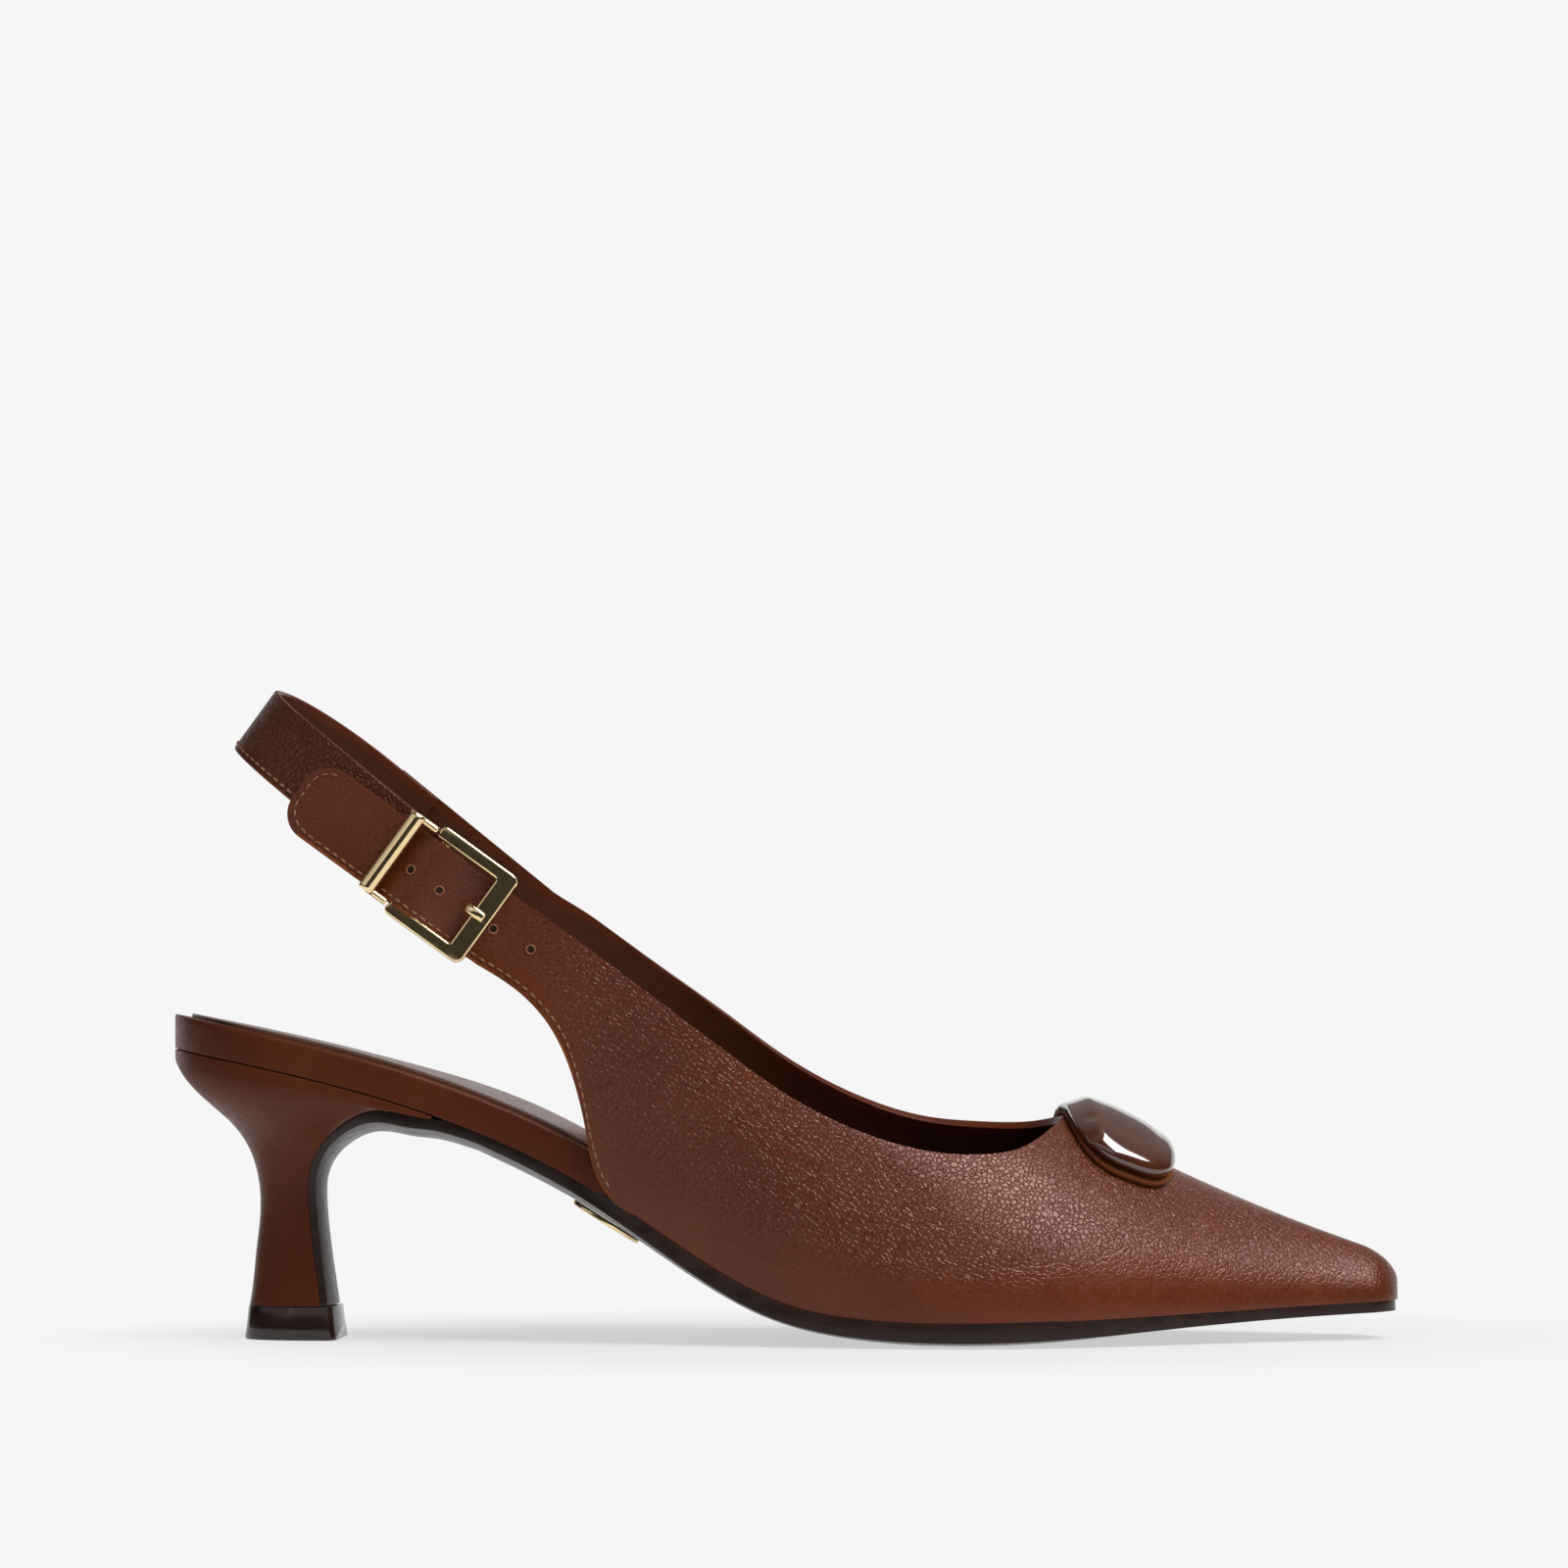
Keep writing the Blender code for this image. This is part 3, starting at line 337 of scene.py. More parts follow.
def give_wall(piece, thickness):
    """A wall grown inwards; its inner face and its rim take the next two finishes."""
    wall = piece.modifiers.new("wall", "SOLIDIFY")
    wall.thickness = thickness
    wall.offset = -1
    wall.material_offset = 1
    wall.material_offset_rim = 2


def round_edges(piece, width, degrees=50):
    """A small round on every edge that turns by more than an angle."""
    rounded = piece.modifiers.new("edges", "BEVEL")
    rounded.width = width
    rounded.segments = 3
    rounded.limit_method = "ANGLE"
    rounded.angle_limit = math.radians(degrees)


def paint(piece, slots, grain):
    """Gives each face its finish and each point its share of grain."""
    piece.data.polygons.foreach_set("material_index", slots.astype(np.int32))
    layer = piece.data.attributes.new("grain", "FLOAT", "POINT")
    layer.data.foreach_set("value", grain.astype(np.float32))


def settle(piece, *nodes):
    """The piece rides on the shoe and stands for these CAD nodes."""
    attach(piece, "root")
    if nodes:
        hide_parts(*nodes)
    return piece


# %% [markdown]
# ## Leather and the other finishes
#
# Every finish is a Principled shader with a little network in front of it. Grained leather is
# a Voronoi pattern in millimetres, whose cell borders make the furrows, broken up by noise, and
# the furrows are painted darker too, a painted shade. The patterns read Object coordinates, so
# they have the same size everywhere on the shoe and don't stretch with the mesh.


# %% Finish helpers
def add_node(tree, kind, inputs=(), **settings):
    """A new node. Each input, found by its name or place, takes a value or another's output."""
    node = tree.nodes.new("ShaderNode" + kind)
    for key, value in settings.items():
        setattr(node, key, value)
    for socket, value in dict(inputs).items():
        if isinstance(value, bpy.types.NodeSocket):
            tree.links.new(value, node.inputs[socket])
        else:
            node.inputs[socket].default_value = value
    return node


def ramp_node(tree, source, low, high, out_low=0.0, out_high=1.0):
    """Smooth step of a source between low and high, stretched to run between two outputs."""
    inputs = {"Value": source, "From Min": low, "From Max": high, "To Min": out_low, "To Max": out_high}
    return add_node(tree, "MapRange", inputs, interpolation_type="SMOOTHSTEP").outputs["Result"]


class Finish:
    """A material with its Principled shader, and short names for the nodes in front of it."""

    def __init__(self, name, colour, roughness, metallic=0.0, **sockets):
        """Starts the material and sets the shader's sockets to their values."""
        self.material = bpy.data.materials.new(name)
        self.material.use_nodes = True
        self.tree = self.material.node_tree
        self.principled = self.tree.nodes["Principled BSDF"]
        values = {"Base Color": (*colour, 1), "Roughness": roughness, "Metallic": metallic, **sockets}
        for socket, value in values.items():
            self.principled.inputs[socket.replace("_", " ")].default_value = value
        self.place = self.add("TexCoord").outputs["Object"]

    def add(self, kind, inputs=(), **settings):
        """A node in this material."""
        return add_node(self.tree, kind, inputs, **settings)

    def feed(self, **sources):
        """Links outputs to the shader's sockets of these names."""
        for socket, source in sources.items():
            self.tree.links.new(source, self.principled.inputs[socket.replace("_", " ")])

    def noise(self, scale, detail=4.0, rough=0.55, vector=None, output="Fac"):
        """Noise in the piece's own coordinates, or in another vector."""
        inputs = {"Scale": scale, "Detail": detail, "Roughness": rough, "Vector": vector or self.place}
        return self.add("TexNoise", inputs).outputs[output]

    def ramp(self, source, low, high, out_low=0.0, out_high=1.0):
        """Smooth step between two levels of a source."""
        return ramp_node(self.tree, source, low, high, out_low, out_high)

    def maths(self, operation, a, b):
        """One sum of two numbers or outputs."""
        return self.add("Math", {0: a, 1: b}, operation=operation).outputs[0]

    def mix(self, factor, a, b):
        """Colour a where the factor is 0, colour b where it is 1."""
        a, b = ((*c, 1) if isinstance(c, tuple) else c for c in (a, b))
        return self.add("Mix", {"Factor": factor, 6: a, 7: b}, data_type="RGBA").outputs[2]

    def bump(self, height, depth, strength=1.0, below=None):
        """Normals of a relief this deep, laid over the relief below."""
        inputs = {"Height": height, "Distance": depth, "Strength": strength}
        if below is not None:
            inputs["Normal"] = below
        return self.add("Bump", inputs).outputs["Normal"]


# %% Leathers
LEATHER_GLOSS = (1.0, 0.62, 0.56, 1.0)


def grained_leather(name, dark, light, grain_scale, depth, roughness, gloss):
    """Pebbles between furrows: the distance to the border of shifted cells, times the grain; the furrows are
    also painted darker, a painted shade.
    """
    finish = Finish(name, light, roughness, Specular_IOR_Level=gloss, Specular_Tint=LEATHER_GLOSS)
    wander = finish.noise(grain_scale * 0.9, 3.0)
    aside = finish.noise(grain_scale * 0.8, 2.0, 0.5, output="Color")
    aside = finish.add("VectorMath", {0: aside, "Scale": 0.35 / grain_scale}, operation="SCALE")
    shifted = finish.add("VectorMath", {0: finish.place, 1: aside.outputs[0]}, operation="ADD")
    cells = finish.add("TexVoronoi", {"Scale": grain_scale, "Vector": shifted.outputs[0]},
                       feature="DISTANCE_TO_EDGE").outputs["Distance"]
    pebble = finish.ramp(cells, 0.0, 0.19)
    grain = finish.add("Attribute", attribute_name="grain").outputs["Fac"]
    fine = finish.maths("MULTIPLY", finish.noise(grain_scale * 3.2, 3.0), 0.06)
    felt = finish.maths("MULTIPLY", finish.maths("ADD", pebble, fine), grain)
    soft = finish.bump(finish.noise(120, 2.0), 0.0003, 0.5)
    colour = finish.mix(finish.ramp(finish.noise(38, 4.0), 0.32, 0.68), dark, light)
    # Painted shade: the base colour turns towards a deeper brown in the furrows, as far as the grain reaches.
    furrow_shade = finish.maths("MULTIPLY", finish.maths("SUBTRACT", 1.0, pebble), 0.6)
    deep = tuple(c * 0.55 for c in dark)
    finish.feed(Normal=finish.bump(felt, depth, 1.0, soft),
                Base_Color=finish.mix(finish.maths("MULTIPLY", furrow_shade, grain), colour, deep),
                Roughness=finish.ramp(wander, 0.3, 0.7, roughness - 0.05, roughness + 0.08))
    return finish.material


def smooth_leather(name, dark, light, roughness, scale=420.0, depth=0.00012):
    """Leather pressed smooth: fine pores from noise, and slow changes of colour."""
    finish = Finish(name, light, roughness, Specular_IOR_Level=0.28, Specular_Tint=LEATHER_GLOSS)
    pores = finish.noise(scale * 2.0, 5.0, 0.65)
    slow = finish.bump(finish.noise(90, 3.0), 0.0006, 0.35)
    patch = finish.ramp(finish.noise(45, 5.0), 0.3, 0.7)
    finish.feed(Normal=finish.bump(pores, depth, 0.8, slow),
                Base_Color=finish.mix(patch, dark, light),
                Roughness=finish.ramp(pores, 0.3, 0.7, roughness - 0.06, roughness + 0.08))
    return finish.material


COGNAC_DARK, COGNAC = (0.082, 0.0150, 0.0030), (0.108, 0.0220, 0.0048)
upper_leather = grained_leather("cognac_leather", COGNAC_DARK, COGNAC, 960.0, 0.00010, 0.32, 0.60)
wrap_leather = smooth_leather("wrapped_leather", (0.068, 0.0125, 0.0024), (0.088, 0.0175, 0.0038), 0.38)
strap_leather = grained_leather("strap_leather", (0.062, 0.014, 0.004), (0.096, 0.024, 0.007),
                                760.0, 0.00012, 0.38, 0.34)
lining_leather = smooth_leather("lining_leather", (0.040, 0.010, 0.003), (0.060, 0.016, 0.006), 0.5)
pad_leather = smooth_leather("pad_leather", (0.075, 0.034, 0.022), (0.105, 0.052, 0.036), 0.34)
raw_edge = smooth_leather("raw_leather_edge", (0.10, 0.024, 0.006), (0.26, 0.075, 0.018), 0.8, 900.0, 0.0002)


# %% Sole, metal, patent and thread
def sole_finish(name, dark, light, roughness, coat):
    """Resin sole: long faint streaks along the shoe and a satin coat."""
    finish = Finish(name, light, roughness, Specular_IOR_Level=0.3, Coat_Weight=coat, Coat_Roughness=0.1)
    drawn_out = finish.add("Mapping", {"Vector": finish.place, "Scale": (0.15, 1.0, 1.0)})
    streak = finish.noise(500, 5, 0.5, drawn_out.outputs[0])
    finish.feed(Base_Color=finish.mix(finish.ramp(streak, 0.3, 0.7), dark, light),
                Normal=finish.bump(streak, 0.0001, 0.4),
                Roughness=finish.ramp(streak, 0.3, 0.7, roughness - 0.05, roughness + 0.07))
    return finish.material


def polished_metal(name, colour, roughness):
    """Polished plating: metallic, with faint waves and a slight change of polish."""
    finish = Finish(name, colour, roughness, 1.0)
    finish.feed(Normal=finish.bump(finish.noise(260, 2.0), 0.00006, 0.25),
                Roughness=finish.ramp(finish.noise(600, 4.0), 0.35, 0.75, roughness, roughness + 0.06))
    return finish.material


def patent_finish(name, dark, light):
    """Patent: a smooth clear coat over leather whose colour drifts slowly."""
    finish = Finish(name, light, 0.16, Coat_Weight=1.0, Coat_Roughness=0.03, Coat_IOR=1.7)
    finish.feed(Base_Color=finish.mix(finish.ramp(finish.noise(60, 3.0), 0.3, 0.7), dark, light),
                Normal=finish.bump(finish.noise(140, 2.0), 0.0003, 0.10))
    return finish.material


def thread_finish(name, dark, light):
    """Twisted thread: fine noise stands for its plies."""
    finish = Finish(name, light, 0.6)
    ply = finish.noise(2600, 2.0)
    finish.feed(Base_Color=finish.mix(finish.ramp(ply, 0.35, 0.65), dark, light),
                Normal=finish.bump(ply, 0.00012, 0.8))
    return finish.material


sole_brown = sole_finish("sole_brown", (0.013, 0.0050, 0.0035), (0.020, 0.0080, 0.0055), 0.36, 0.06)
lift_brown = sole_finish("lift_brown", (0.014, 0.006, 0.004), (0.022, 0.009, 0.006), 0.2, 0.6)
pale_gold = polished_metal("pale_gold", (0.94, 0.73, 0.40), 0.08)
brown_patent = patent_finish("brown_patent", (0.045, 0.010, 0.004), (0.075, 0.018, 0.006))
thread = thread_finish("thread", (0.15, 0.052, 0.021), (0.29, 0.115, 0.050))
# Painted shade: near black, laid on the strap as the inside of each punched hole.
hole_shade_finish = smooth_leather("punched_hole_shade", (0.008, 0.003, 0.002), (0.014, 0.006, 0.004), 0.7)
print("finishes:", len(bpy.data.materials))

# %% [markdown]
# ## The upper
#
# One hide is pulled over the last and cut: the topline dips behind the throat, the sides are cut
# away behind the instep and run out into a strap on each side. Three families of ribs describe
# it. Across the vamp a rib is a whole section of the last, further back it stops at the topline,
# and round the cut-away the ribs fan out until they stand square across the strap.

# %% Toplines, cut-away and strap
THROAT = 0.726
TOPLINE = np.array([
    # station, outer rise, inner rise
    (0.300, 1.227, 1.410),
    (0.380, 1.156, 1.345),
    (0.450, 1.114, 1.318),
    (0.520, 0.995, 1.190),
    (0.570, 0.898, 1.082),
    (0.620, 0.834, 1.005),
    (0.660, 0.825, 0.981),
    (0.690, 0.859, 0.972),
    (0.708, 0.922, 0.978),
    (THROAT, 1.000, 1.000),
])
CUTAWAY = np.array([
    # station, rise
    (0.362, 0.000),
    (0.350, 0.060),
    (0.340, 0.267),
    (0.330, 0.496),
    (0.311, 0.696),
    (0.283, 0.795),
])
ROOT_STATION = 0.300
STRAP_PITCH = math.radians(36.0)
STRAP_WIDTH = 0.0158
STRAP_HALF_SPAN = 0.0270
SLING_WALL = 0.0014
SLING_WIDTH = 0.0148
SLING_GAP = 0.0006
SLING_LAP = 0.0100
LOOP_REACH = 0.0728
LOOP_TURN = 0.0216
LOOP_POWER = 2.3
TAB_LENGTH = 0.0538
TAB_CORNER = 0.0060
TAB_START = 0.0030
LOWER_EXTRA = 0.0003
STRAP_BLEND = 0.0360
INNER_END = 0.0450
INNER_RISE = 0.0055
INNER_CLIMB = 0.055
FRAME_LENGTH = 0.0191
FRAME_WIDTH = 0.0215
FRAME_BAR = 0.0034
FRAME_LIP = 0.0007
FRAME_RAIL = 0.0027
FRAME_THICK = 0.0020
FRAME_FRONT = 0.0057
BAR_INSET = 0.0023
BAR_PLACE = FRAME_FRONT + FRAME_LENGTH - BAR_INSET
WEAVE = 0.0027
WEAVE_BACK = 0.0063
WEAVE_FRONT = 0.0002
TAB_OUT = WALL + SLING_GAP


def topline_level(x, side):
    """Level of the upper's edge: the feather line plus the side's rise."""
    return feather(x) + read(TOPLINE, 1 if side == LATERAL else 2, x) * INSTEP


def section_at_level(x, z, side):
    """Where the section at x reaches level z, found between samples of its rising arch."""
    x, z = np.broadcast_arrays(np.asarray(x, float), np.asarray(z, float))
    ts = np.linspace(0, 1, 240)
    levels = np.maximum.accumulate(last_section(x[..., None], ts, side)[..., 2], -1)
    above = np.clip((levels < z[..., None]).sum(-1), 1, len(ts) - 1)[..., None]
    low = np.take_along_axis(levels, above - 1, -1)[..., 0]
    high = np.take_along_axis(levels, above, -1)[..., 0]
    part = np.clip((z - low) / np.maximum(high - low, 1e-9), 0, 1)
    return (above[..., 0] - 1 + part) / (len(ts) - 1)


def last_point(x, z, side):
    """The point of the last's skin at a place and a level."""
    return last_section(x, section_at_level(x, z, side), side)


ALONG = np.array([math.cos(STRAP_PITCH), 0, -math.sin(STRAP_PITCH)])
ACROSS = np.array([math.sin(STRAP_PITCH), 0, math.cos(STRAP_PITCH)])
OUT = np.cross(ALONG, ACROSS)
ROOT = np.array([place(ROOT_STATION), 0, topline_level(place(ROOT_STATION), LATERAL)])


def strap_point(along, across, y):
    """ROOT + along * ALONG + across * ACROSS, with y for the third direction."""
    along, across, y = np.broadcast_arrays(*(np.asarray(v, float) for v in (along, across, y)))
    return (ROOT + along[..., None] * ALONG + across[..., None] * ACROSS
            + y[..., None] * np.array([0, 1, 0]))


def loop_span(along, out):
    """Half span of the strap's loop: a superellipse of power 2.3 behind the turn's start."""
    reach = LOOP_REACH - LOOP_TURN + out
    back = np.clip((-np.asarray(along, float) - LOOP_TURN) / reach, 0, 1)
    return (STRAP_HALF_SPAN - SHELL + out) * arch(back, LOOP_POWER)


def weave(along):
    """Bulge of the strap end where it passes over the buckle's middle bar."""
    back = ease(-along, BAR_PLACE + WEAVE_BACK, BAR_PLACE)
    front = ease(-along, FRAME_FRONT + FRAME_BAR + WEAVE_FRONT, BAR_PLACE)
    return WEAVE * np.minimum(back, front)


def tab_y(along, side):
    """Y of the strap's outer face: half the loop's span, and the weave on the outer side."""
    bulge = weave(along) if side == LATERAL else 0
    return side * (loop_span(along, TAB_OUT) + bulge)


def inner_rise(along):
    """How much higher the inner strap's upper edge lies than the outer one's."""
    return INNER_RISE - INNER_CLIMB * along


def led_to_strap(points, side):
    """The quarter swings smoothly from the last's skin to the strap's plane as it nears it."""
    along = (points[..., 0] - ROOT[0]) * ALONG[0] + (points[..., 2] - ROOT[2]) * ALONG[2]
    strap = ease(-along, -STRAP_BLEND, TAB_START)
    points[..., 1] = points[..., 1] * (1 - strap) + tab_y(along, side) * strap
    return points


# %% The upper's surface
ROWS = 49
VAMP_ROWS = 76
WAIST_ROWS = 75
FAN_ROWS = 54
STRAIGHT_ROWS = 69
TIP_ROWS = 21
VAMP_CROWDING = 2.2
WAIST_CROWDING = 1.5
FAN_START = VAMP_ROWS + WAIST_ROWS
FOLD_WIDTH = 0.0022
RAW_WIDTH = 0.0006
BACKED_SHARE = 0.65
TOP_BLEND = (0.4, 1.0)
LOWER_BLEND = (0.004, 0.010)
GRAIN_LOW = 0.10
GRAIN_CLIMB = (0.10, 0.38)
GRAIN_LOSSES = (
    # part lost, start station, end station
    (0.60, 0.36, 0.28),
    (0.45, 0.80, 0.98),
)


def vamp_ribs(side, across):
    """Whole sections of the last, closer together at the nose, from the toe to the throat."""
    throat = place(THROAT)
    nose = TIP - (TIP - throat) * np.linspace(0, 1, VAMP_ROWS) ** VAMP_CROWDING
    return last_section(nose[:, None], across, side)


def waist_ribs(side, across):
    """Sections that stop at the topline, from the throat back to the cut-away."""
    throat, start = place(THROAT), place(CUTAWAY[0, 0])
    body = throat - (throat - start) * np.linspace(0, 1, WAIST_ROWS + 1)[1:] ** WAIST_CROWDING
    cut = section_at_level(body, topline_level(body, side), side)
    return led_to_strap(last_section(body[:, None], across * cut[:, None], side), side)


def fan_ribs(side, across):
    """Straight ribs in side view between the cut-away's edge and the topline."""
    start = place(CUTAWAY[0, 0])
    rise = inner_rise(-TAB_START) if side == MEDIAL else 0
    edge_x = place(CUTAWAY[:, 0])
    edge_z = feather(edge_x) + CUTAWAY[:, 1] * INSTEP
    low_end = strap_point(-TAB_START, rise - STRAP_WIDTH, 0)
    top_end = strap_point(-TAB_START, rise, 0)
    if side == MEDIAL:
        edge_z = edge_z + rise / math.cos(STRAP_PITCH) * CUTAWAY[:, 1] / CUTAWAY[-1, 1]
    edge_x = np.append(edge_x, low_end[0])
    edge_z = np.append(edge_z, low_end[2])
    edge = np.stack([edge_x, edge_z], 1)
    run = run_along(edge)
    step = np.linspace(0, 1, FAN_ROWS + 1)[1:]
    above = top_end[2] - topline_level(top_end[0], side)
    top_x = start + (top_end[0] - start) * step
    top_z = topline_level(top_x, side) + above * ease(step, *TOP_BLEND)
    low_x, low_z = resampled(step * run[-1], run, edge).T
    x = low_x[:, None] + (top_x - low_x)[:, None] * across
    z = low_z[:, None] + (top_z - low_z)[:, None] * across
    points = last_point(x, z, side)
    points[..., 2] = z
    return led_to_strap(points, side)


def strap_ribs(side, across):
    """Straight ribs square across the strap; the outer end is a rounded tip."""
    end = TAB_LENGTH if side == LATERAL else INNER_END
    tip = end - TAB_CORNER * (1 - np.linspace(0, 1, TIP_ROWS + 1)[1:]) ** 2
    alongs = -np.append(np.linspace(TAB_START, end - TAB_CORNER, STRAIGHT_ROWS + 1)[1:], tip)
    half = np.full(len(alongs), STRAP_WIDTH / 2)
    rise = inner_rise(alongs)
    if side == LATERAL:
        half = half - TAB_CORNER * (1 - quarter_round(end + alongs, TAB_CORNER))
        rise = 0 * alongs
    width = (rise - STRAP_WIDTH / 2)[:, None] + half[:, None] * (2 * across - 1)
    if side == LATERAL:
        width = width - LOWER_EXTRA * ease(-alongs, *LOWER_BLEND)[:, None] * (1 - across)
    return strap_point(alongs[:, None], width, tab_y(alongs, side)[:, None])


def upper_half(side):
    """The four families of ribs of one side, from the toe back to the strap's end."""
    across = np.linspace(0, 1, ROWS)[None, :]
    families = (vamp_ribs, waist_ribs, fan_ribs, strap_ribs)
    return np.concatenate([ribs(side, across) for ribs in families])


outer_half, inner_half = upper_half(LATERAL), upper_half(MEDIAL)


def normals_of(grid):
    """Unit normals of a grid: the cross product of its two rows of differences."""
    return unit(np.cross(np.gradient(grid, axis=0), np.gradient(grid, axis=1)))


def trough(distance, width):
    """Profile across a soft crease: exp(-(distance / width)^2)."""
    return np.exp(-(distance / width) ** 2)


upper = skin("upper_leather", [(outer_half, True, False), (inner_half, False, False)],
             [upper_leather, lining_leather, raw_edge,
              upper_leather, lining_leather, wrap_leather,
              upper_leather, wrap_leather, wrap_leather,
              raw_edge, lining_leather, raw_edge])
slots = []
for half_grid in (outer_half, inner_half):
    rib_length = np.linalg.norm(np.diff(half_grid, axis=1), axis=2).sum(1)[1:, None]
    column = np.arange(ROWS - 1)[None, :]
    row = np.arange(len(half_grid) - 1)[:, None]
    from_low = column * rib_length / (ROWS - 1)
    from_top = rib_length - from_low
    slot = np.where(from_top < rib_length * BACKED_SHARE, 3, 0)
    slot = np.where((from_top < FOLD_WIDTH) & (row >= VAMP_ROWS), 6, slot)
    cut = (row >= FAN_START) & (row < FAN_START + FAN_ROWS + STRAIGHT_ROWS)
    slots.append(np.where((from_low < RAW_WIDTH) & cut, 9, slot).ravel())
rows_share = np.tile(np.linspace(0, 1, ROWS), len(outer_half) * 2)
points = np.concatenate([outer_half.reshape(-1, 3), inner_half.reshape(-1, 3)])
grain = GRAIN_LOW + (1 - GRAIN_LOW) * ease(rows_share, *GRAIN_CLIMB)
for lost, start, end in GRAIN_LOSSES:
    grain *= 1 - lost * ease(share(points[:, 0]), start, end)
paint(upper, np.concatenate(slots), grain)
give_wall(upper, WALL)
round_edges(upper, 0.0005)
settle(upper, "upper")
print("upper:", len(points), "points on its outer skin")

# %% [markdown]
# ## The strap behind the heel
#
# The strap is a soft band that stands on its edge and goes round the heel in a loop. In plan
# the loop is a superellipse, and the band's middle line sinks a little towards the buckle.

# %% The sling strap
SLING_START = BAR_PLACE + 0.0011
SLING_LOW, SLING_HIGH = 4, 27
SLING_CENTRES = np.array([
    # turn in degrees, centre below the strap's upper edge as a share of its width
    (-100, 0.40),
    (-60, 0.26),
    (0, 0.10),
    (60, -0.04),
    (78, 0.01),
    (100, 0.05),
])


def sling_turn(along):
    """Turn round the loop at which its path stands this far back."""
    reached = (along - LOOP_TURN) / (LOOP_REACH - LOOP_TURN)
    return math.acos(reached ** (LOOP_POWER / 2))


def sling_path(turn):
    """Superellipse: along goes with |cos|^(2/p) and y with |sin|^(2/p)."""
    c, s = superellipse(turn, LOOP_POWER)
    return -LOOP_TURN - (LOOP_REACH - LOOP_TURN) * c, s * (STRAP_HALF_SPAN - SHELL)


def band_points(turns, across):
    """Points of the strap's outer face at turns round the loop and distances across."""
    alongs, ys = sling_path(turns)
    centres = -spline(np.degrees(turns), SLING_CENTRES[:, 0], SLING_CENTRES[:, 1]) * STRAP_WIDTH
    return strap_point(alongs[:, None], centres[:, None] + across[None, :], ys[:, None])


even = np.linspace(-1, 1, 241)
turns = -sling_turn(SLING_START) + (even + 1) / 2 * (
    sling_turn(SLING_START) + sling_turn(INNER_END - SLING_LAP))
sling_grid = band_points(turns, np.linspace(-0.5, 0.5, 33) * SLING_WIDTH)
sling = skin("sling_leather", [(sling_grid, True, False)],
             [strap_leather, lining_leather, raw_edge,
              strap_leather, lining_leather, strap_leather,
              strap_leather, wrap_leather, strap_leather,
              raw_edge, lining_leather, raw_edge])
sling_columns = np.tile(np.arange(sling_grid.shape[1] - 1), len(sling_grid) - 1)
sling_slots = np.where(sling_columns > SLING_LOW, 3, 0) + np.where(sling_columns > SLING_HIGH, 3, 0)
sling_slots = np.where(sling_columns == 0, 9, sling_slots)
paint(sling, sling_slots, np.ones(sling_grid.size // 3))
give_wall(sling, SLING_WALL)
round_edges(sling, 0.0004)
settle(sling, "sling_strap")
print("sling strap:", sling_grid.shape[:2])

# %% [markdown]
# ## Board, pad and sole
#
# Under the foot lie three slabs that share the last's outline. A slab is described by its
# section, a flat strip with round upper corners, which is carried from the heel to the toe
# while its width, level and thickness change. The board is wrapped in leather and thick at the
# seat. The sole follows the breast of the heel down as a flap.


# %% Slabs
BOARD_SEAT = 0.0069
BOARD_FORE = 0.0024
BOARD_EDGE = 0.0012
ARCH_LIFT = 0.0015
PAD_THICK = 0.0009
PAD_INSET = 0.0016
PAD_BACK = 0.0034
PAD_FRONT = 0.93
PAD_ROUND = 0.0140
PAD_UNDER = 0.2
SEAT_TO_FORE = (0.40, 0.52)
ARCH_BEGINS = (0.15, 0.30)
ARCH_ENDS = (0.52, 0.38)
CROWDED_PART, EVEN_PART = 0.8, 0.2


def board_thickness(x):
    """Thick at the seat, and thin in front of the waist, with a smooth step between."""
    return BOARD_SEAT + (BOARD_FORE - BOARD_SEAT) * ease(share(x), *SEAT_TO_FORE)


def slope_factor(level, x):
    """Vertical thickness for each unit of thickness square to the slope: sqrt(1 + slope^2)."""
    return np.sqrt(1 + ((level(x + STEP) - level(x - STEP)) / (2 * STEP)) ** 2)


def arch_tilt(x):
    """How much higher the inner side of the board's top lies than its outer side."""
    return ARCH_LIFT * ease(share(x), *ARCH_BEGINS) * ease(share(x), *ARCH_ENDS)


def board_top(x):
    """Level of the board's top: feather line plus its thickness square to the slope."""
    return feather(x) + board_thickness(x) * slope_factor(feather, x)


def end_spaced(back, front, count):
    """Stations that crowd together at both rounded ends, after a cosine."""
    turn = np.linspace(0, math.pi, count)
    even = np.linspace(0, 1, count)
    return back + (front - back) * (CROWDED_PART * (1 - np.cos(turn)) / 2 + EVEN_PART * even)


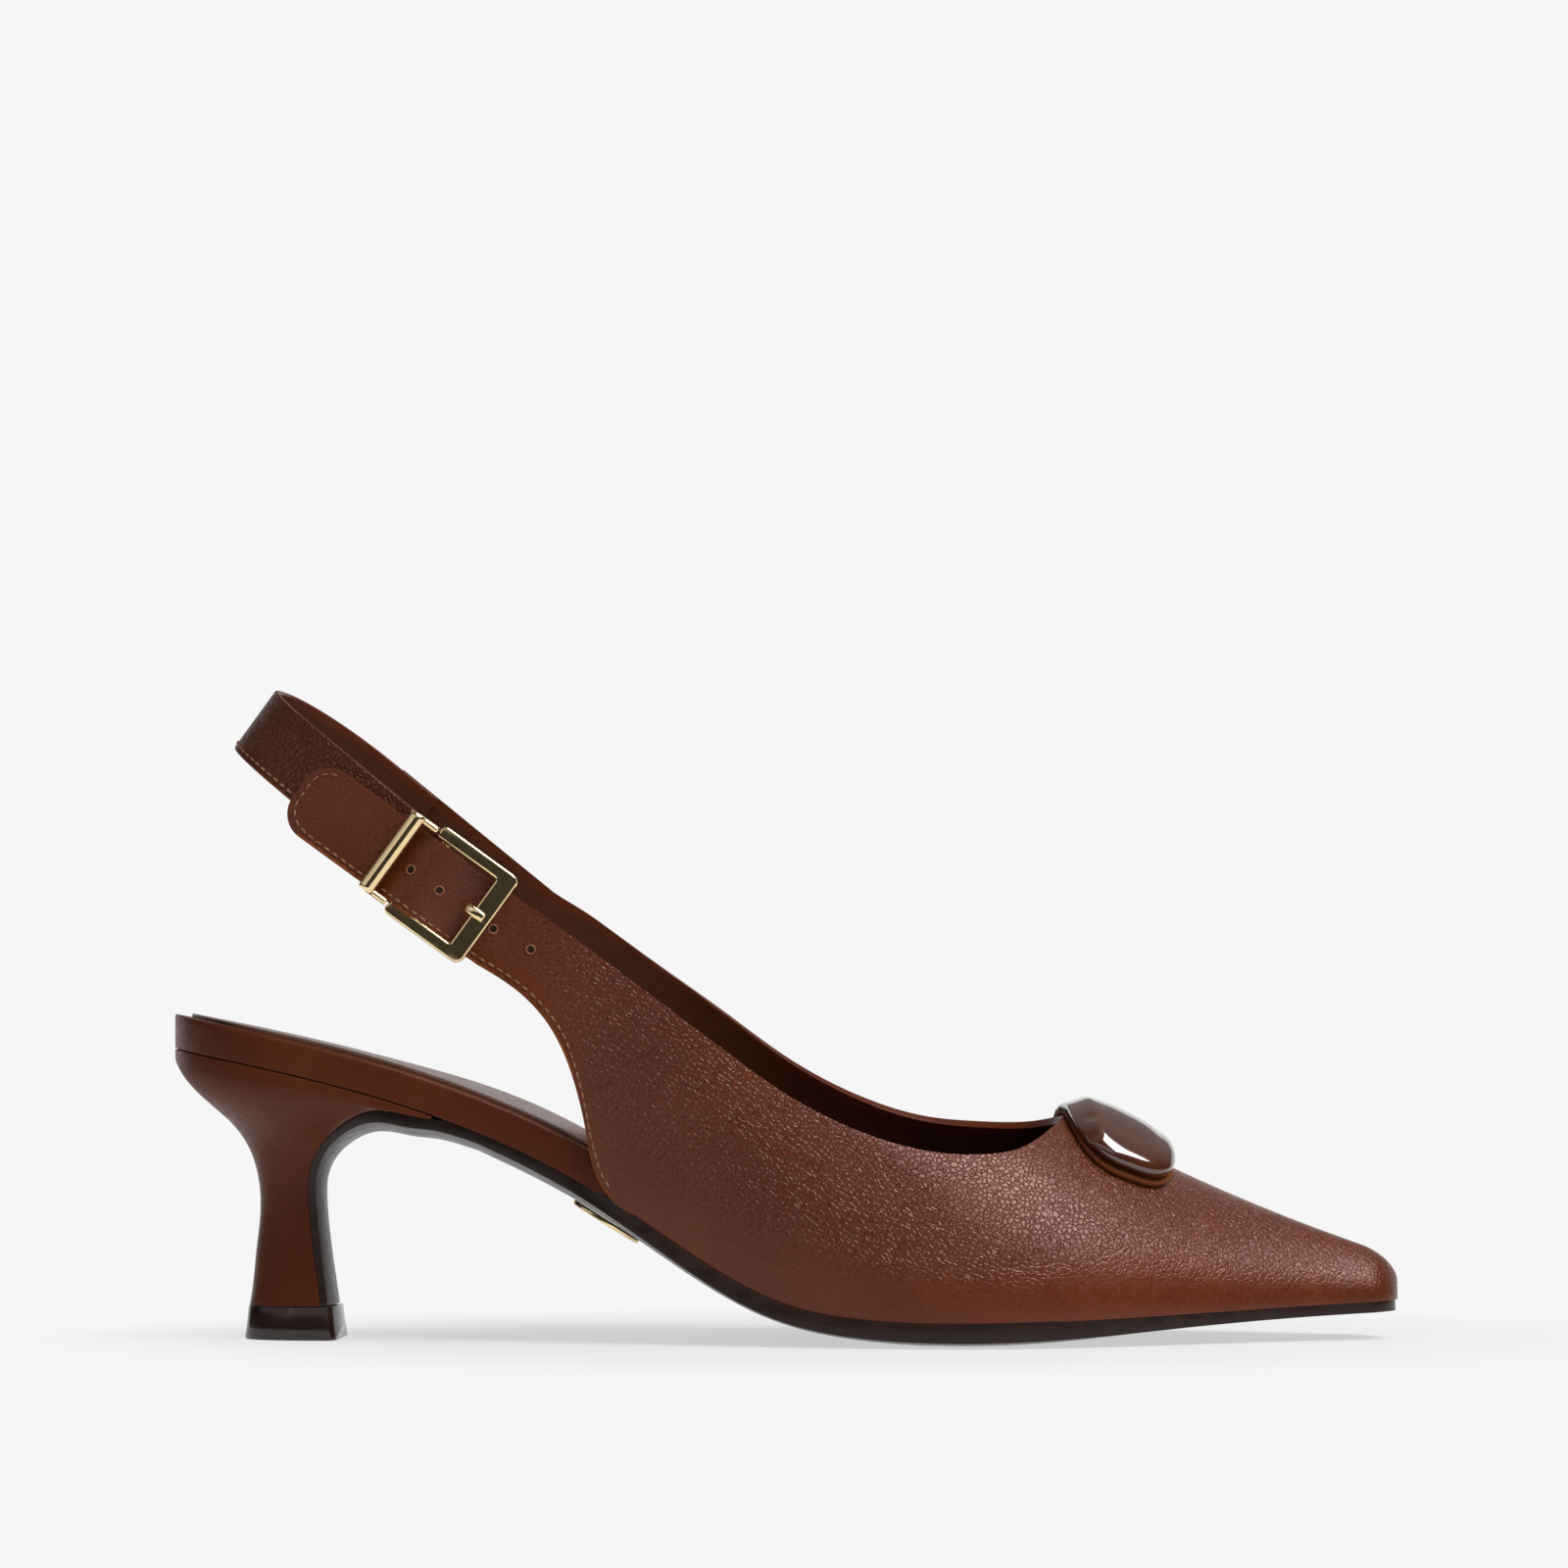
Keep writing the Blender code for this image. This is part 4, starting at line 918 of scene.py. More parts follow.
def slab(xs, left, right, low, high, corner, low_tilt=0, under=0.25):
    """Rings of a slab: quarter circles at the upper corners, smaller ones at the lower corners.

    Going round, y runs over the half width and z over the thickness, and each face also rises
    by its tilt from the left to the right.
    """
    half = ((right - left) / 2)[:, None]
    middle = ((right + left) / 2)[:, None]
    deep = (high - low)[:, None]
    radius = np.minimum(corner, np.minimum(half * 0.9, deep * 0.6))
    small = radius * under
    turn = np.radians(np.linspace(0, 90, 7))
    top_y = half - radius + radius * np.cos(turn)
    top_z = high[:, None] - radius + radius * np.sin(turn)
    flat = np.linspace(1, -1, 15)[1:-1]
    over_y = (half - radius) * flat
    over_z = high[:, None] + 0 * over_y
    low_y = half - small + small * np.cos(turn)
    low_z = low[:, None] + small - small * np.sin(turn)
    wide = np.concatenate([low_y[:, ::-1], top_y, over_y, -top_y[:, ::-1], -low_y], 1)
    tall = np.concatenate([low_z[:, ::-1], top_z, over_z, top_z[:, ::-1], low_z], 1)
    lift = np.repeat([0, 1, 0], [len(turn), 2 * len(turn) + len(flat), len(turn)])
    tilt = (low_tilt + 0 * xs)[:, None]
    rise = (arch_tilt(xs)[:, None] * lift + tilt * (1 - lift)) * (1 + wide / half) / 2
    return np.stack([np.broadcast_to(xs[:, None], wide.shape), middle + wide, tall + rise], -1)


board_x = end_spaced(BACK + HAIR / 2, TIP - SHELL - HAIR / 2, 150)
board_rings = slab(board_x, board_edge(board_x, LATERAL), board_edge(board_x, MEDIAL),
                   feather(board_x), board_top(board_x), BOARD_EDGE)
settle(ring_piece("board_wrap", board_rings, [wrap_leather]), "insole_board")

pad_x = end_spaced(BACK + PAD_BACK + HAIR / 2, place(PAD_FRONT), 130)
pad_left, pad_right = grown_edge(pad_x, LATERAL, -PAD_INSET), grown_edge(pad_x, MEDIAL, -PAD_INSET)
pad_middle = (pad_left + pad_right) / 2
pad_end = quarter_round(pad_x - BACK - PAD_BACK, PAD_ROUND)
pad_low = board_top(pad_x) - HAIR
pad_rings = slab(pad_x, pad_middle + (pad_left - pad_middle) * pad_end,
                 pad_middle + (pad_right - pad_middle) * pad_end,
                 pad_low, pad_low + PAD_THICK * slope_factor(feather, pad_x), PAD_THICK,
                 arch_tilt(pad_x), PAD_UNDER)
settle(ring_piece("sock_pad", pad_rings, [pad_leather]), "insole_pad")
print("board and pad:", board_rings.shape, pad_rings.shape)

# %% The sole and its flap
SOLE_MARGIN = 0.0002
SOLE_PROUD = 0.0007
SOLE_TUCK = 0.0005
SOLE_WAIST_INSET = 0.0012
LIFT_THICK = 0.0068
LIFT_WIDTH = 0.0170
FLAP_THICK = 0.0027
LIFT_TURN = 0.035
WAIST_END = 0.277
FLAP_BEGINS = (0.175, 0.125)
WAIST_BEGINS = (0.38, 0.33)
FORE_CROWDING = 1.6
CROWN_POWER = 2.4
FINER = 6

BREAST = np.array([
    # run, level, half
    (0.1227, 0.115, 0.245),
    (0.1188, 0.231, 0.222),
    (0.1148, 0.363, 0.205),
    (0.1125, 0.479, 0.207),
    (0.1133, 0.561, 0.226),
    (0.1195, 0.634, 0.285),
    (0.1320, 0.697, 0.370),
    (0.1484, 0.746, 0.460),
    (0.1641, 0.770, 0.510),
    (0.1800, 0.771, 0.540),
    (0.1973, 0.757, 0.560),
    (0.2168, 0.748, 0.575),
    (0.2363, 0.729, 0.585),
    (0.2559, 0.702, 0.590),
])
BACK_CURVE = np.array([
    # run, level
    (0.0605, 0.115),
    (0.0632, 0.190),
    (0.0657, 0.300),
    (0.0687, 0.410),
    (0.0690, 0.500),
    (0.0655, 0.592),
    (0.0580, 0.675),
    (0.0475, 0.744),
    (0.0355, 0.796),
    (0.0245, 0.842),
    (0.0150, 0.886),
    (0.0080, 0.924),
    (0.0020, 0.960),
])
SOLE_SHARES = np.array([
    # station, thick, crown
    (0.120, 0.80, 0.52),
    (0.250, 0.84, 0.50),
    (0.350, 0.86, 0.40),
    (0.500, 0.94, 0.30),
    (0.580, 1.10, 0.34),
    (0.720, 1.10, 0.34),
    (0.800, 0.76, 0.26),
    (0.890, 0.52, 0.15),
    (1.000, 0.48, 0.10),
])


def finer(table):
    """A curve with more points: each column through a spline over the distance run."""
    run = run_along(table[:, :2])
    return resampled(np.linspace(0, run[-1], (len(table) - 1) * FINER + 1), run, table)


def breast_table():
    """Places, levels and half widths of the heel-side face of the flap, in metres."""
    table = BREAST.copy()
    table[:, 0] = place(table[:, 0])
    table[:, 1] *= feather(BACK)
    table[0, 1] = LIFT_THICK + GAP
    table[:, 2] *= HALF_BALL
    return finer(table)


def sole_thickness(x):
    """The table's share of the full thickness, which turns into the flap's behind the waist."""
    full = SOLE_THICK * read(SOLE_SHARES, 1, x)
    flap = ease(share(x), *FLAP_BEGINS)
    return full * (1 - flap) + FLAP_THICK * flap


def sole_edge(x, side):
    """The sole stands a little proud of the upper, and inside the board's edge in the waist."""
    proud = grown_edge(x + SOLE_PROUD, side, SHELL + SOLE_MARGIN)
    waist = board_edge(x, side) - side * SOLE_WAIST_INSET
    behind = ease(share(x), *WAIST_BEGINS)
    return proud * (1 - behind) + waist * behind


def sole_rings():
    """Rings square to the sole's top face: flat above, below sunk by 1 - crown * |across|^2.4."""
    breast = breast_table()[::-1]
    fore = TIP - SOLE_PROUD - (TIP - place(WAIST_END)) * np.linspace(0, 1, 120) ** FORE_CROWDING
    xs = np.concatenate([fore, breast[:, 0]])
    zs = np.concatenate([feather(fore) - GAP, breast[:, 1]])
    outer = np.concatenate([sole_edge(fore, LATERAL), -breast[:, 2] + GAP])
    inner = np.concatenate([sole_edge(fore, MEDIAL), breast[:, 2] - GAP])
    down_x, down_z = (part[:, None] for part in left_of(xs, zs))
    thick = sole_thickness(xs)[:, None]
    crown = read(SOLE_SHARES, 2, xs)[:, None]
    half, middle = ((inner - outer) / 2)[:, None], ((inner + outer) / 2)[:, None]
    across = np.sin(np.linspace(-math.pi / 2, math.pi / 2, 41))
    depth = thick * (1 - crown * np.abs(across) ** CROWN_POWER)
    top = np.linspace(1, -1, 13)
    depths = np.concatenate([np.full((len(xs), len(top)), -SOLE_TUCK), depth], 1)
    ys = middle + half * np.concatenate([top, across])
    ring_x = xs[:, None] + down_x * depths
    ring_z = np.maximum(zs[:, None] + down_z * depths, 0)
    return np.stack([ring_x, ys, ring_z], -1)


sole = ring_piece("sole_resin", sole_rings(), [sole_brown])
round_edges(sole, 0.0003, 45)
settle(sole, "outsole")

# %% [markdown]
# ## Heel and lift
#
# The heel is a wooden block covered in the same leather. Each of its rings is a D: straight
# along the breast, round at the back. The lowest rings are small, the highest take the outline
# of the seat, and between them the heel draws in to a waist.


# %% The covered heel
HEEL_POWER = 2.3
LEVEL_BLEND = (0.6, 1.0)
OUTLINE_BLEND = (0.55, 0.95)


def heel_rings(levels):
    """D-shaped rings between breast and back, blended into the seat's own outline."""
    breast = breast_table()[:-2 * FINER]
    back = finer(np.stack([place(BACK_CURVE[:, 0]), BACK_CURVE[:, 1] * feather(BACK)], 1))
    even = np.linspace(0, len(back) - 1, len(breast))
    back = resampled(even, np.arange(len(back)), back, np.interp)
    back[0, 1] = breast[0, 1]
    out_x, out_z = left_of(breast[:, 0], breast[:, 1])
    front_x = breast[:, 0] + out_x * GAP
    front_z = breast[:, 1] + out_z * GAP
    front_z[0] = breast[0, 1]
    front_x = np.append(front_x, front_x[-1] + 0.0004)
    front_z = np.append(front_z, feather(front_x[-1]) - GAP)
    back_x = np.append(back[:, 0], BACK + HAIR)
    back_z = np.append(back[:, 1], feather(BACK + HAIR) - GAP)
    halves = np.append(breast[:, 2], np.abs(board_edge(front_x[-1], MEDIAL)))
    e = np.sin(np.linspace(0, math.pi / 2, levels))[None, :]
    v = np.linspace(0, 1, len(front_x))[:, None]
    x = front_x[:, None] + (back_x - front_x)[:, None] * e
    chord = front_z[:, None] + (back_z - front_z)[:, None] * e
    top_chord = front_z[-1] + (back_z[-1] - front_z[-1]) * (x - front_x[-1]) / (back_x[-1] - front_x[-1])
    z = chord + (feather(x) - GAP - top_chord) * ease(v, *LEVEL_BLEND)
    shape = halves[:, None] * arch(e, HEEL_POWER)
    seat = ease(v, *OUTLINE_BLEND)
    sides = []
    for side in (LATERAL, MEDIAL):
        edge = board_edge(np.maximum(x, BACK + HAIR), side)
        y = side * shape * (1 - seat) + edge * seat
        sides.append(np.stack([x, y, z], -1))
    return np.concatenate([sides[0], sides[1][:, ::-1][:, 1:]], 1)


heel_grid = capped(heel_rings(33))
heel_grid[-3:, :, 2] += 2 * GAP
heel = skin("heel_cover", [(heel_grid, False, True)], [wrap_leather])
round_edges(heel, 0.0004)
settle(heel, "heel")


# %% The top lift
LIFT_POWER = 2.4
LIFT_CORNER = 0.0016
LIFT_FORWARD = 0.8
LIFT_FRONT, LIFT_WIDENS = 0.86, 0.14
LIFT_FLARE = np.array([
    # level, spread
    (0.0, 0.0008),
    (0.0004, 0.0010),
    (LIFT_THICK * 0.5, 0.00048),
    (LIFT_THICK + 0.9 * GAP, 0.0),
])


def lift_rings():
    """A superellipse of power 2.4 behind a straight front, flaring down to a flat base."""
    back = place(BACK_CURVE[0, 0]) - 2 * HAIR
    front = place(BREAST[0, 0]) + FLAP_THICK - 2 * HAIR
    level, spread = LIFT_FLARE.T[..., None]
    e = np.sin(np.linspace(0, math.pi / 2, 33))[None, :]
    x = front + spread * LIFT_FORWARD - (front - back + 2 * LIFT_FORWARD * spread) * e
    y = (LIFT_WIDTH / 2 + spread) * arch(e, LIFT_POWER)
    y = y * (LIFT_FRONT + LIFT_WIDENS * quarter_round(x[:, :1] - x, LIFT_CORNER))
    z = level + 0 * x
    turned = LIFT_TURN * y * (1 - e)
    outer = np.stack([x - turned, -y, z], -1)
    inner = np.stack([x + turned, y, z], -1)[:, ::-1][:, 1:]
    return np.concatenate([outer, inner], 1)


lift = ring_piece("lift_block", lift_rings(), [lift_brown])
round_edges(lift, 0.00035, 40)
settle(lift, "top_lift")
print("heel and lift ready")

# %% [markdown]
# ## The buckle
#
# A flat U-shaped frame carries a thin middle bar. The strap end comes up over the bar, the
# prong lies through one of its holes, and a keeper with a thick bar holds the end down.
# The frame is a flat outline with rounded edges. The wires are round sections carried along a
# path: at each point the section stands square to the path's direction.


# %% Places in the strap's plane
FACE = STRAP_HALF_SPAN - SHELL + TAB_OUT
FRAME_MIDDLE = -STRAP_WIDTH / 2 + 0.00045
FRAME_CORNER = 0.0020
FRAME_ROUND = 0.00045
INNER_CORNER = 0.0005
FRAME_DEPTH = FACE + GAP + FRAME_THICK / 2
KEEPER_PLACE = FRAME_FRONT + FRAME_LENGTH + 0.0052
KEEPER_RADIUS = 0.0018
KEEPER_FLAT = 0.90
KEEPER_POWER = 2.1
KEEPER_ARM_RADIUS = 0.0007
KEEPER_SHARE = 0.415
BAR_RADIUS = 0.0008
BAR_DEPTH = FACE + WEAVE - WALL - GAP - BAR_RADIUS
PRONG_RADIUS = 0.00075
PRONG_FLAT = 1.35
PRONG_POWER = 3.0
PRONG_OUT = FACE + 2 * GAP + FRAME_THICK + PRONG_RADIUS
HOLE_IN_USE = FRAME_FRONT + 0.0062


def arc(centre, radius, start, end, steps):
    """Points of a circle's arc between two angles in degrees."""
    turn = np.radians(np.linspace(start, end, steps))
    return np.stack([centre[0] + radius * np.cos(turn), centre[1] + radius * np.sin(turn)], 1)


def plate(name, outline, thick, edge, material, matrix):
    """A flat outline with its edges rounded, made a mesh and then put in its place."""
    data = bpy.data.curves.new(name, "CURVE")
    data.dimensions = "2D"
    data.fill_mode = "BOTH"
    data.extrude = thick / 2 - edge
    data.bevel_depth = edge
    data.bevel_resolution = 4
    data.offset = -edge
    line = data.splines.new("POLY")
    line.points.add(len(outline) - 1)
    flat = np.concatenate([outline, np.zeros((len(outline), 1)), np.ones((len(outline), 1))], 1)
    line.points.foreach_set("co", flat.astype(np.float32).ravel())
    line.use_cyclic_u = True
    drawn = into_scene(name + "_outline", data)
    shape = drawn.evaluated_get(bpy.context.evaluated_depsgraph_get())
    mesh = bpy.data.meshes.new_from_object(shape)
    bpy.data.objects.remove(drawn, do_unlink=True)
    mesh.name = name
    mesh.transform(matrix)
    mesh.materials.clear()
    piece = smooth_piece(name, mesh, [material], 1e-5)
    mesh.set_sharp_from_angle(angle=math.radians(40))
    return piece


def tube(points, radii, out, flat, around, power=2.0):
    """Section carried along a path: side = direction x out, and a superellipse between them."""
    direction = unit(np.gradient(points, axis=0))
    side = unit(np.cross(direction, out))
    up = np.cross(side, direction) * flat
    c, s = superellipse(np.linspace(0, 2 * math.pi, around, endpoint=False)[:, None], power)
    radii = np.broadcast_to(radii, (len(points),))[:, None, None]
    ring = side[:, None] * c + up[:, None] * s
    return points[:, None] + radii * ring


def smooth_path(corners, steps):
    """A spline through a few points, over the length of the straight lines between them."""
    corners = np.asarray(corners, float)
    run = run_along(corners)
    return resampled(np.linspace(0, run[-1], steps), run, corners)


# %% Frame, keeper, prong and bar
half = FRAME_WIDTH / 2
inside = half - FRAME_RAIL
rear = -FRAME_FRONT - FRAME_LENGTH
front = -FRAME_FRONT
bar = front - FRAME_BAR - FRAME_LIP
tip = FRAME_RAIL / 2
frame_outline = np.concatenate([
    arc((rear + tip, half - tip), tip, 180, 90, 12),
    arc((front - FRAME_CORNER, half - FRAME_CORNER), FRAME_CORNER, 90, 0, 14),
    arc((front - FRAME_CORNER, -half + FRAME_CORNER), FRAME_CORNER, 0, -90, 14),
    arc((rear + tip, -half + tip), tip, -90, -180, 12),
    np.array([(rear + tip * 0.3, -inside)]),
    arc((bar - INNER_CORNER, -inside + INNER_CORNER), INNER_CORNER, -90, 0, 5),
    arc((bar - INNER_CORNER, inside - INNER_CORNER), INNER_CORNER, 0, 90, 5),
    np.array([(rear + tip * 0.3, inside)]),
])
frame_spot = placed(strap_point(0, FRAME_MIDDLE, -FRAME_DEPTH), ALONG, ACROSS, OUT)
buckle = plate("frame_metal", frame_outline, FRAME_THICK, FRAME_ROUND, pale_gold, frame_spot)
settle(buckle, "buckle_frame")

keeper_half = FRAME_WIDTH * KEEPER_SHARE
keeper_depth = FACE + GAP + KEEPER_RADIUS * KEEPER_FLAT
keeper_line = strap_point(-KEEPER_PLACE, FRAME_MIDDLE + np.linspace(-1, 1, 24) * (keeper_half + 0.0005),
                          -keeper_depth)
keeper_tube = tube(keeper_line, KEEPER_RADIUS, OUT, KEEPER_FLAT, 28, KEEPER_POWER)
settle(ring_piece("keeper_bar", keeper_tube, [pale_gold]), "buckle_keeper")
arms = []
for side in (-1, 1):
    run = np.linspace(-KEEPER_PLACE, rear - GAP, 12)
    line = strap_point(run, FRAME_MIDDLE + side * keeper_half, -keeper_depth)
    arms.append((capped(tube(line, KEEPER_ARM_RADIUS, OUT, 1.0, 16)), False, True))
settle(skin("keeper_arms", arms, [pale_gold]))

prong_route = [
    # place back, distance out
    (BAR_PLACE - BAR_RADIUS - GAP, BAR_DEPTH - 0.0003),
    (BAR_PLACE - BAR_RADIUS - GAP - 0.0030, FACE - 0.0015),
    (HOLE_IN_USE + 0.0040, FACE - 0.0023),
    (HOLE_IN_USE + 0.0012, FACE - 0.0025),
    (HOLE_IN_USE + 0.0003, FACE - 0.0015),
    (HOLE_IN_USE - 0.0001, FACE - 0.0001),
    (HOLE_IN_USE - 0.0005, FACE + 0.0015),
    (HOLE_IN_USE - 0.0014, PRONG_OUT - 0.0004),
    (HOLE_IN_USE - 0.0028, PRONG_OUT),
    (HOLE_IN_USE - 0.0048, PRONG_OUT),
]
route = smooth_path(prong_route, 60)
prong_line = strap_point(-route[:, 0], FRAME_MIDDLE, -route[:, 1])
taper = PRONG_RADIUS * (1 - 0.15 * ease(np.linspace(0, 1, 60), 0.9, 1.0))
prong_tube = tube(prong_line, taper, ACROSS, PRONG_FLAT, 28, PRONG_POWER)
settle(ring_piece("prong_wire", prong_tube, [pale_gold]), "buckle_prong")
bar_line = strap_point(-BAR_PLACE, FRAME_MIDDLE + np.linspace(-1, 1, 12) * (inside - GAP), -BAR_DEPTH)
settle(ring_piece("middle_bar", tube(bar_line, BAR_RADIUS, OUT, 1.0, 20), [pale_gold]), "buckle_bar")

# %% [markdown]
# ## The ornament
#
# A glossy padded piece sits astride the throat on a band of cut leather. Its outline is a
# rounded rectangle, a superellipse of power 3, laid over the vamp: each of its points is a
# point of the last's skin plus a height along the skin's normal.

# %% Ornament and band
ORNAMENT_LENGTH = 0.0218
ORNAMENT_WIDTH = 0.0302
ORNAMENT_THICK = 0.0049
ORNAMENT_RIM = 0.0007
ORNAMENT_HOVER = 0.0007
ORNAMENT_SKEW = 0.10
ORNAMENT_SWEEP = 0.12
ORNAMENT_POWER = 3.0
ORNAMENT_FORWARD = 0.466
ORNAMENT_VAULT = 0.0004
BAND_THICK = 0.0010
BAND_MARGIN = 0.0019
BAND_WIDTH = 0.0275
HALF_GIRTH = 0.040
DIMPLES = ((-0.74, -0.54), (-0.72, -0.80))
DIMPLE_DEPTH = 0.0007
DIMPLE_WIDTH = 0.0009
REAR_FALL = 0.55
REAR_SEAT = 0.75
DOME_POWER = 2.6
VAULT_BLEND = (0.4, 1.0)
REAR_BLEND = (0.5, 1.0)
HOVER_BLEND = (0.6, 0.95)
FALL_BLEND = (0.66, 1.0)


def vamp_frame(x, arc_share):
    """Points and outward normals of the vamp; arc_share runs from -1 to 1 across the ridge."""
    t = 1 - np.abs(arc_share)
    result = []
    for side in (LATERAL, MEDIAL):
        here = last_section(x, t, side)
        along = last_section(x + STEP, t, side) - last_section(x - STEP, t, side)
        lower = last_section(x, np.maximum(t - 0.01, 0), side)
        normal = np.cross(along, (here - lower) * -side)
        result.append((here, unit(normal)))
    left = (arc_share < 0)[..., None]
    points = np.where(left, result[0][0], result[1][0])
    normals = np.where(left, result[0][1], result[1][1])
    return points, normals


def on_vamp(centre, length, width, r, turn, height):
    """Points of a superellipse of radius share r on the vamp, raised along its normals by height.

    Its sides lean back by a skew, and its far half by a sweep more.
    """
    c, s = superellipse(turn, ORNAMENT_POWER)
    x = centre + length / 2 * r * c
    y = width / 2 * r * s
    swept = ORNAMENT_SKEW * y + ORNAMENT_SWEEP * np.maximum(y, 0)
    base, normal = vamp_frame(x - swept, y / HALF_GIRTH)
    return base + normal * height[..., None]


centre = place(THROAT) + ORNAMENT_LENGTH * ORNAMENT_FORWARD
band_top = GAP + BAND_THICK
around = np.linspace(0, 2 * math.pi, 144, endpoint=False)[None, :]
radius_share = np.sin(np.linspace(0.01, math.pi / 2, 40))[:, None]
grid_r, grid_turn = np.broadcast_arrays(radius_share, around)
dome = np.maximum(1 - grid_r**DOME_POWER, 0) ** 0.5
vault = ORNAMENT_VAULT * np.maximum(0.0, -np.cos(grid_turn)) ** 2 * ease(grid_r, *VAULT_BLEND)
rear_end = ease(-grid_r * np.cos(grid_turn), *REAR_BLEND)
hover = ORNAMENT_HOVER * ease(grid_r, *HOVER_BLEND) * (1 - REAR_SEAT * rear_end)
low_height = band_top + GAP + np.maximum(vault, hover)
share_x, share_y = (grid_r * part for part in superellipse(grid_turn, ORNAMENT_POWER))
thick = ORNAMENT_RIM + (ORNAMENT_THICK - ORNAMENT_RIM) * dome
top_height = low_height + thick * (1 - REAR_FALL * ease(-share_x, *FALL_BLEND))
for dimple_x, dimple_y in DIMPLES:
    distance = np.hypot((share_x - dimple_x) * ORNAMENT_LENGTH, (share_y - dimple_y) * ORNAMENT_WIDTH) / 2
    top_height = top_height - DIMPLE_DEPTH * trough(distance, DIMPLE_WIDTH)
top_face = on_vamp(centre, ORNAMENT_LENGTH, ORNAMENT_WIDTH, grid_r, grid_turn, top_height)
low_face = on_vamp(centre, ORNAMENT_LENGTH, ORNAMENT_WIDTH, grid_r, grid_turn, low_height)
ornament = ring_piece("ornament_patent", np.concatenate([top_face, low_face[::-1]]), [brown_patent])
settle(ornament, "ornament")

flat_r = np.linspace(0.01, 1.0, 24)[:, None]
grid_r, grid_turn = np.broadcast_arrays(flat_r, around)
wide = BAND_WIDTH + 2 * BAND_MARGIN
forward = centre + BAND_MARGIN * 0.2
band_over = on_vamp(forward, ORNAMENT_LENGTH, wide, grid_r, grid_turn, band_top + 0 * grid_r)
band_under = on_vamp(forward, ORNAMENT_LENGTH, wide, grid_r, grid_turn, GAP + 0 * grid_r)
band = ring_piece("ornament_leather", np.concatenate([band_over, band_under[::-1]]), [raw_edge])
settle(band, "ornament_band")
print("ornament:", top_face.shape)

# %% The plaque under the waist
PLAQUE_LENGTH = 0.0160
PLAQUE_WIDTH = 0.0100
PLAQUE_THICK = 0.0009
PLAQUE_ROUND = 0.00025
plaque_x = float(place(0.362))
slope = float(feather(plaque_x + 2 * STEP) - feather(plaque_x - 2 * STEP)) / (4 * STEP)
tangent = np.array([1, 0, slope]) / math.hypot(1, slope)
sideways = np.array([0.0, 1.0, 0.0])
down = np.cross(sideways, tangent)
plaque_middle = float(sole_edge(plaque_x, LATERAL) + sole_edge(plaque_x, MEDIAL)) / 2
origin = np.array([plaque_x, plaque_middle, float(feather(plaque_x)) - GAP])
origin = origin + down * (float(sole_thickness(plaque_x)) + GAP + PLAQUE_THICK / 2)
turn = np.linspace(0, 2 * math.pi, 72, endpoint=False)
oval = np.stack([PLAQUE_LENGTH / 2 * np.cos(turn), PLAQUE_WIDTH / 2 * np.sin(turn)], 1)
plaque_spot = placed(origin, tangent, sideways, np.cross(tangent, sideways))
plaque = plate("plaque_metal", oval, PLAQUE_THICK, PLAQUE_ROUND, pale_gold, plaque_spot)
settle(plaque, "shank_plaque")

# %% [markdown]
# ## Stitches and punched holes
#
# A stitch is a short capsule of thread that dips into the leather at both ends. One capsule is
# worked out as a small grid and then placed at every step along a line on the surface, all in
# one go, with the line's direction and the surface's normal as its axes.


# %% Stitches
def stitches(name, path, normals, pitch, length, radius, materials):
    """Capsules along a path: length * u by radius * sqrt(sin(pi * u)), sunk at both ends."""
    run = run_along(path)
    at = np.arange(pitch / 2, run[-1], pitch)
    where = resampled(at, run, path, np.interp)
    up = unit(resampled(at, run, normals, np.interp))
    direction = unit(resampled(at + pitch / 4, run, path, np.interp) - where)
    side = np.cross(up, direction)
    u = np.linspace(0, 1, 7)[:, None]
    turn = np.linspace(0, 2 * math.pi, 8, endpoint=False)[None, :]
    thick = radius * (0.15 + 0.85 * np.sin(math.pi * u) ** 0.5)
    along = (u - 0.5) * length + 0 * turn
    high = radius * (np.sin(math.pi * u) ** 0.5 - 0.55) + thick * np.sin(turn)
    wide = thick * np.cos(turn)
    grid = (where[:, None, None] + along[None, ..., None] * direction[:, None, None]
            + high[None, ..., None] * up[:, None, None] + wide[None, ..., None] * side[:, None, None])
    rows, columns = along.shape
    count = len(where)
    one = quads(rows, columns, False, True)
    faces = (one[None] + (np.arange(count) * rows * columns)[:, None, None]).reshape(-1, 4)
    piece = mesh_from(name, grid.reshape(-1, 3), faces, materials, weld=0)
    settle(piece)
    print(name, count, "stitches")


def inset_line(grid, columns):
    """A line across a grid: its points and normals at fractional columns, row by row."""
    rows = np.arange(grid.shape[0])
    low = np.clip(np.floor(columns).astype(int), 0, grid.shape[1] - 2)
    part = (columns - low)[:, None]
    normal = normals_of(grid)
    line = grid[rows, low] * (1 - part) + grid[rows, low + 1] * part
    return line, normal[rows, low] * (1 - part) + normal[rows, low + 1] * part


STITCH_INSET = 0.0014
SLING_STITCH_INSET = 0.0013
STITCH_PITCH = 0.0021
STITCH_LENGTH = 0.0017
STITCH_RADIUS = 0.00023

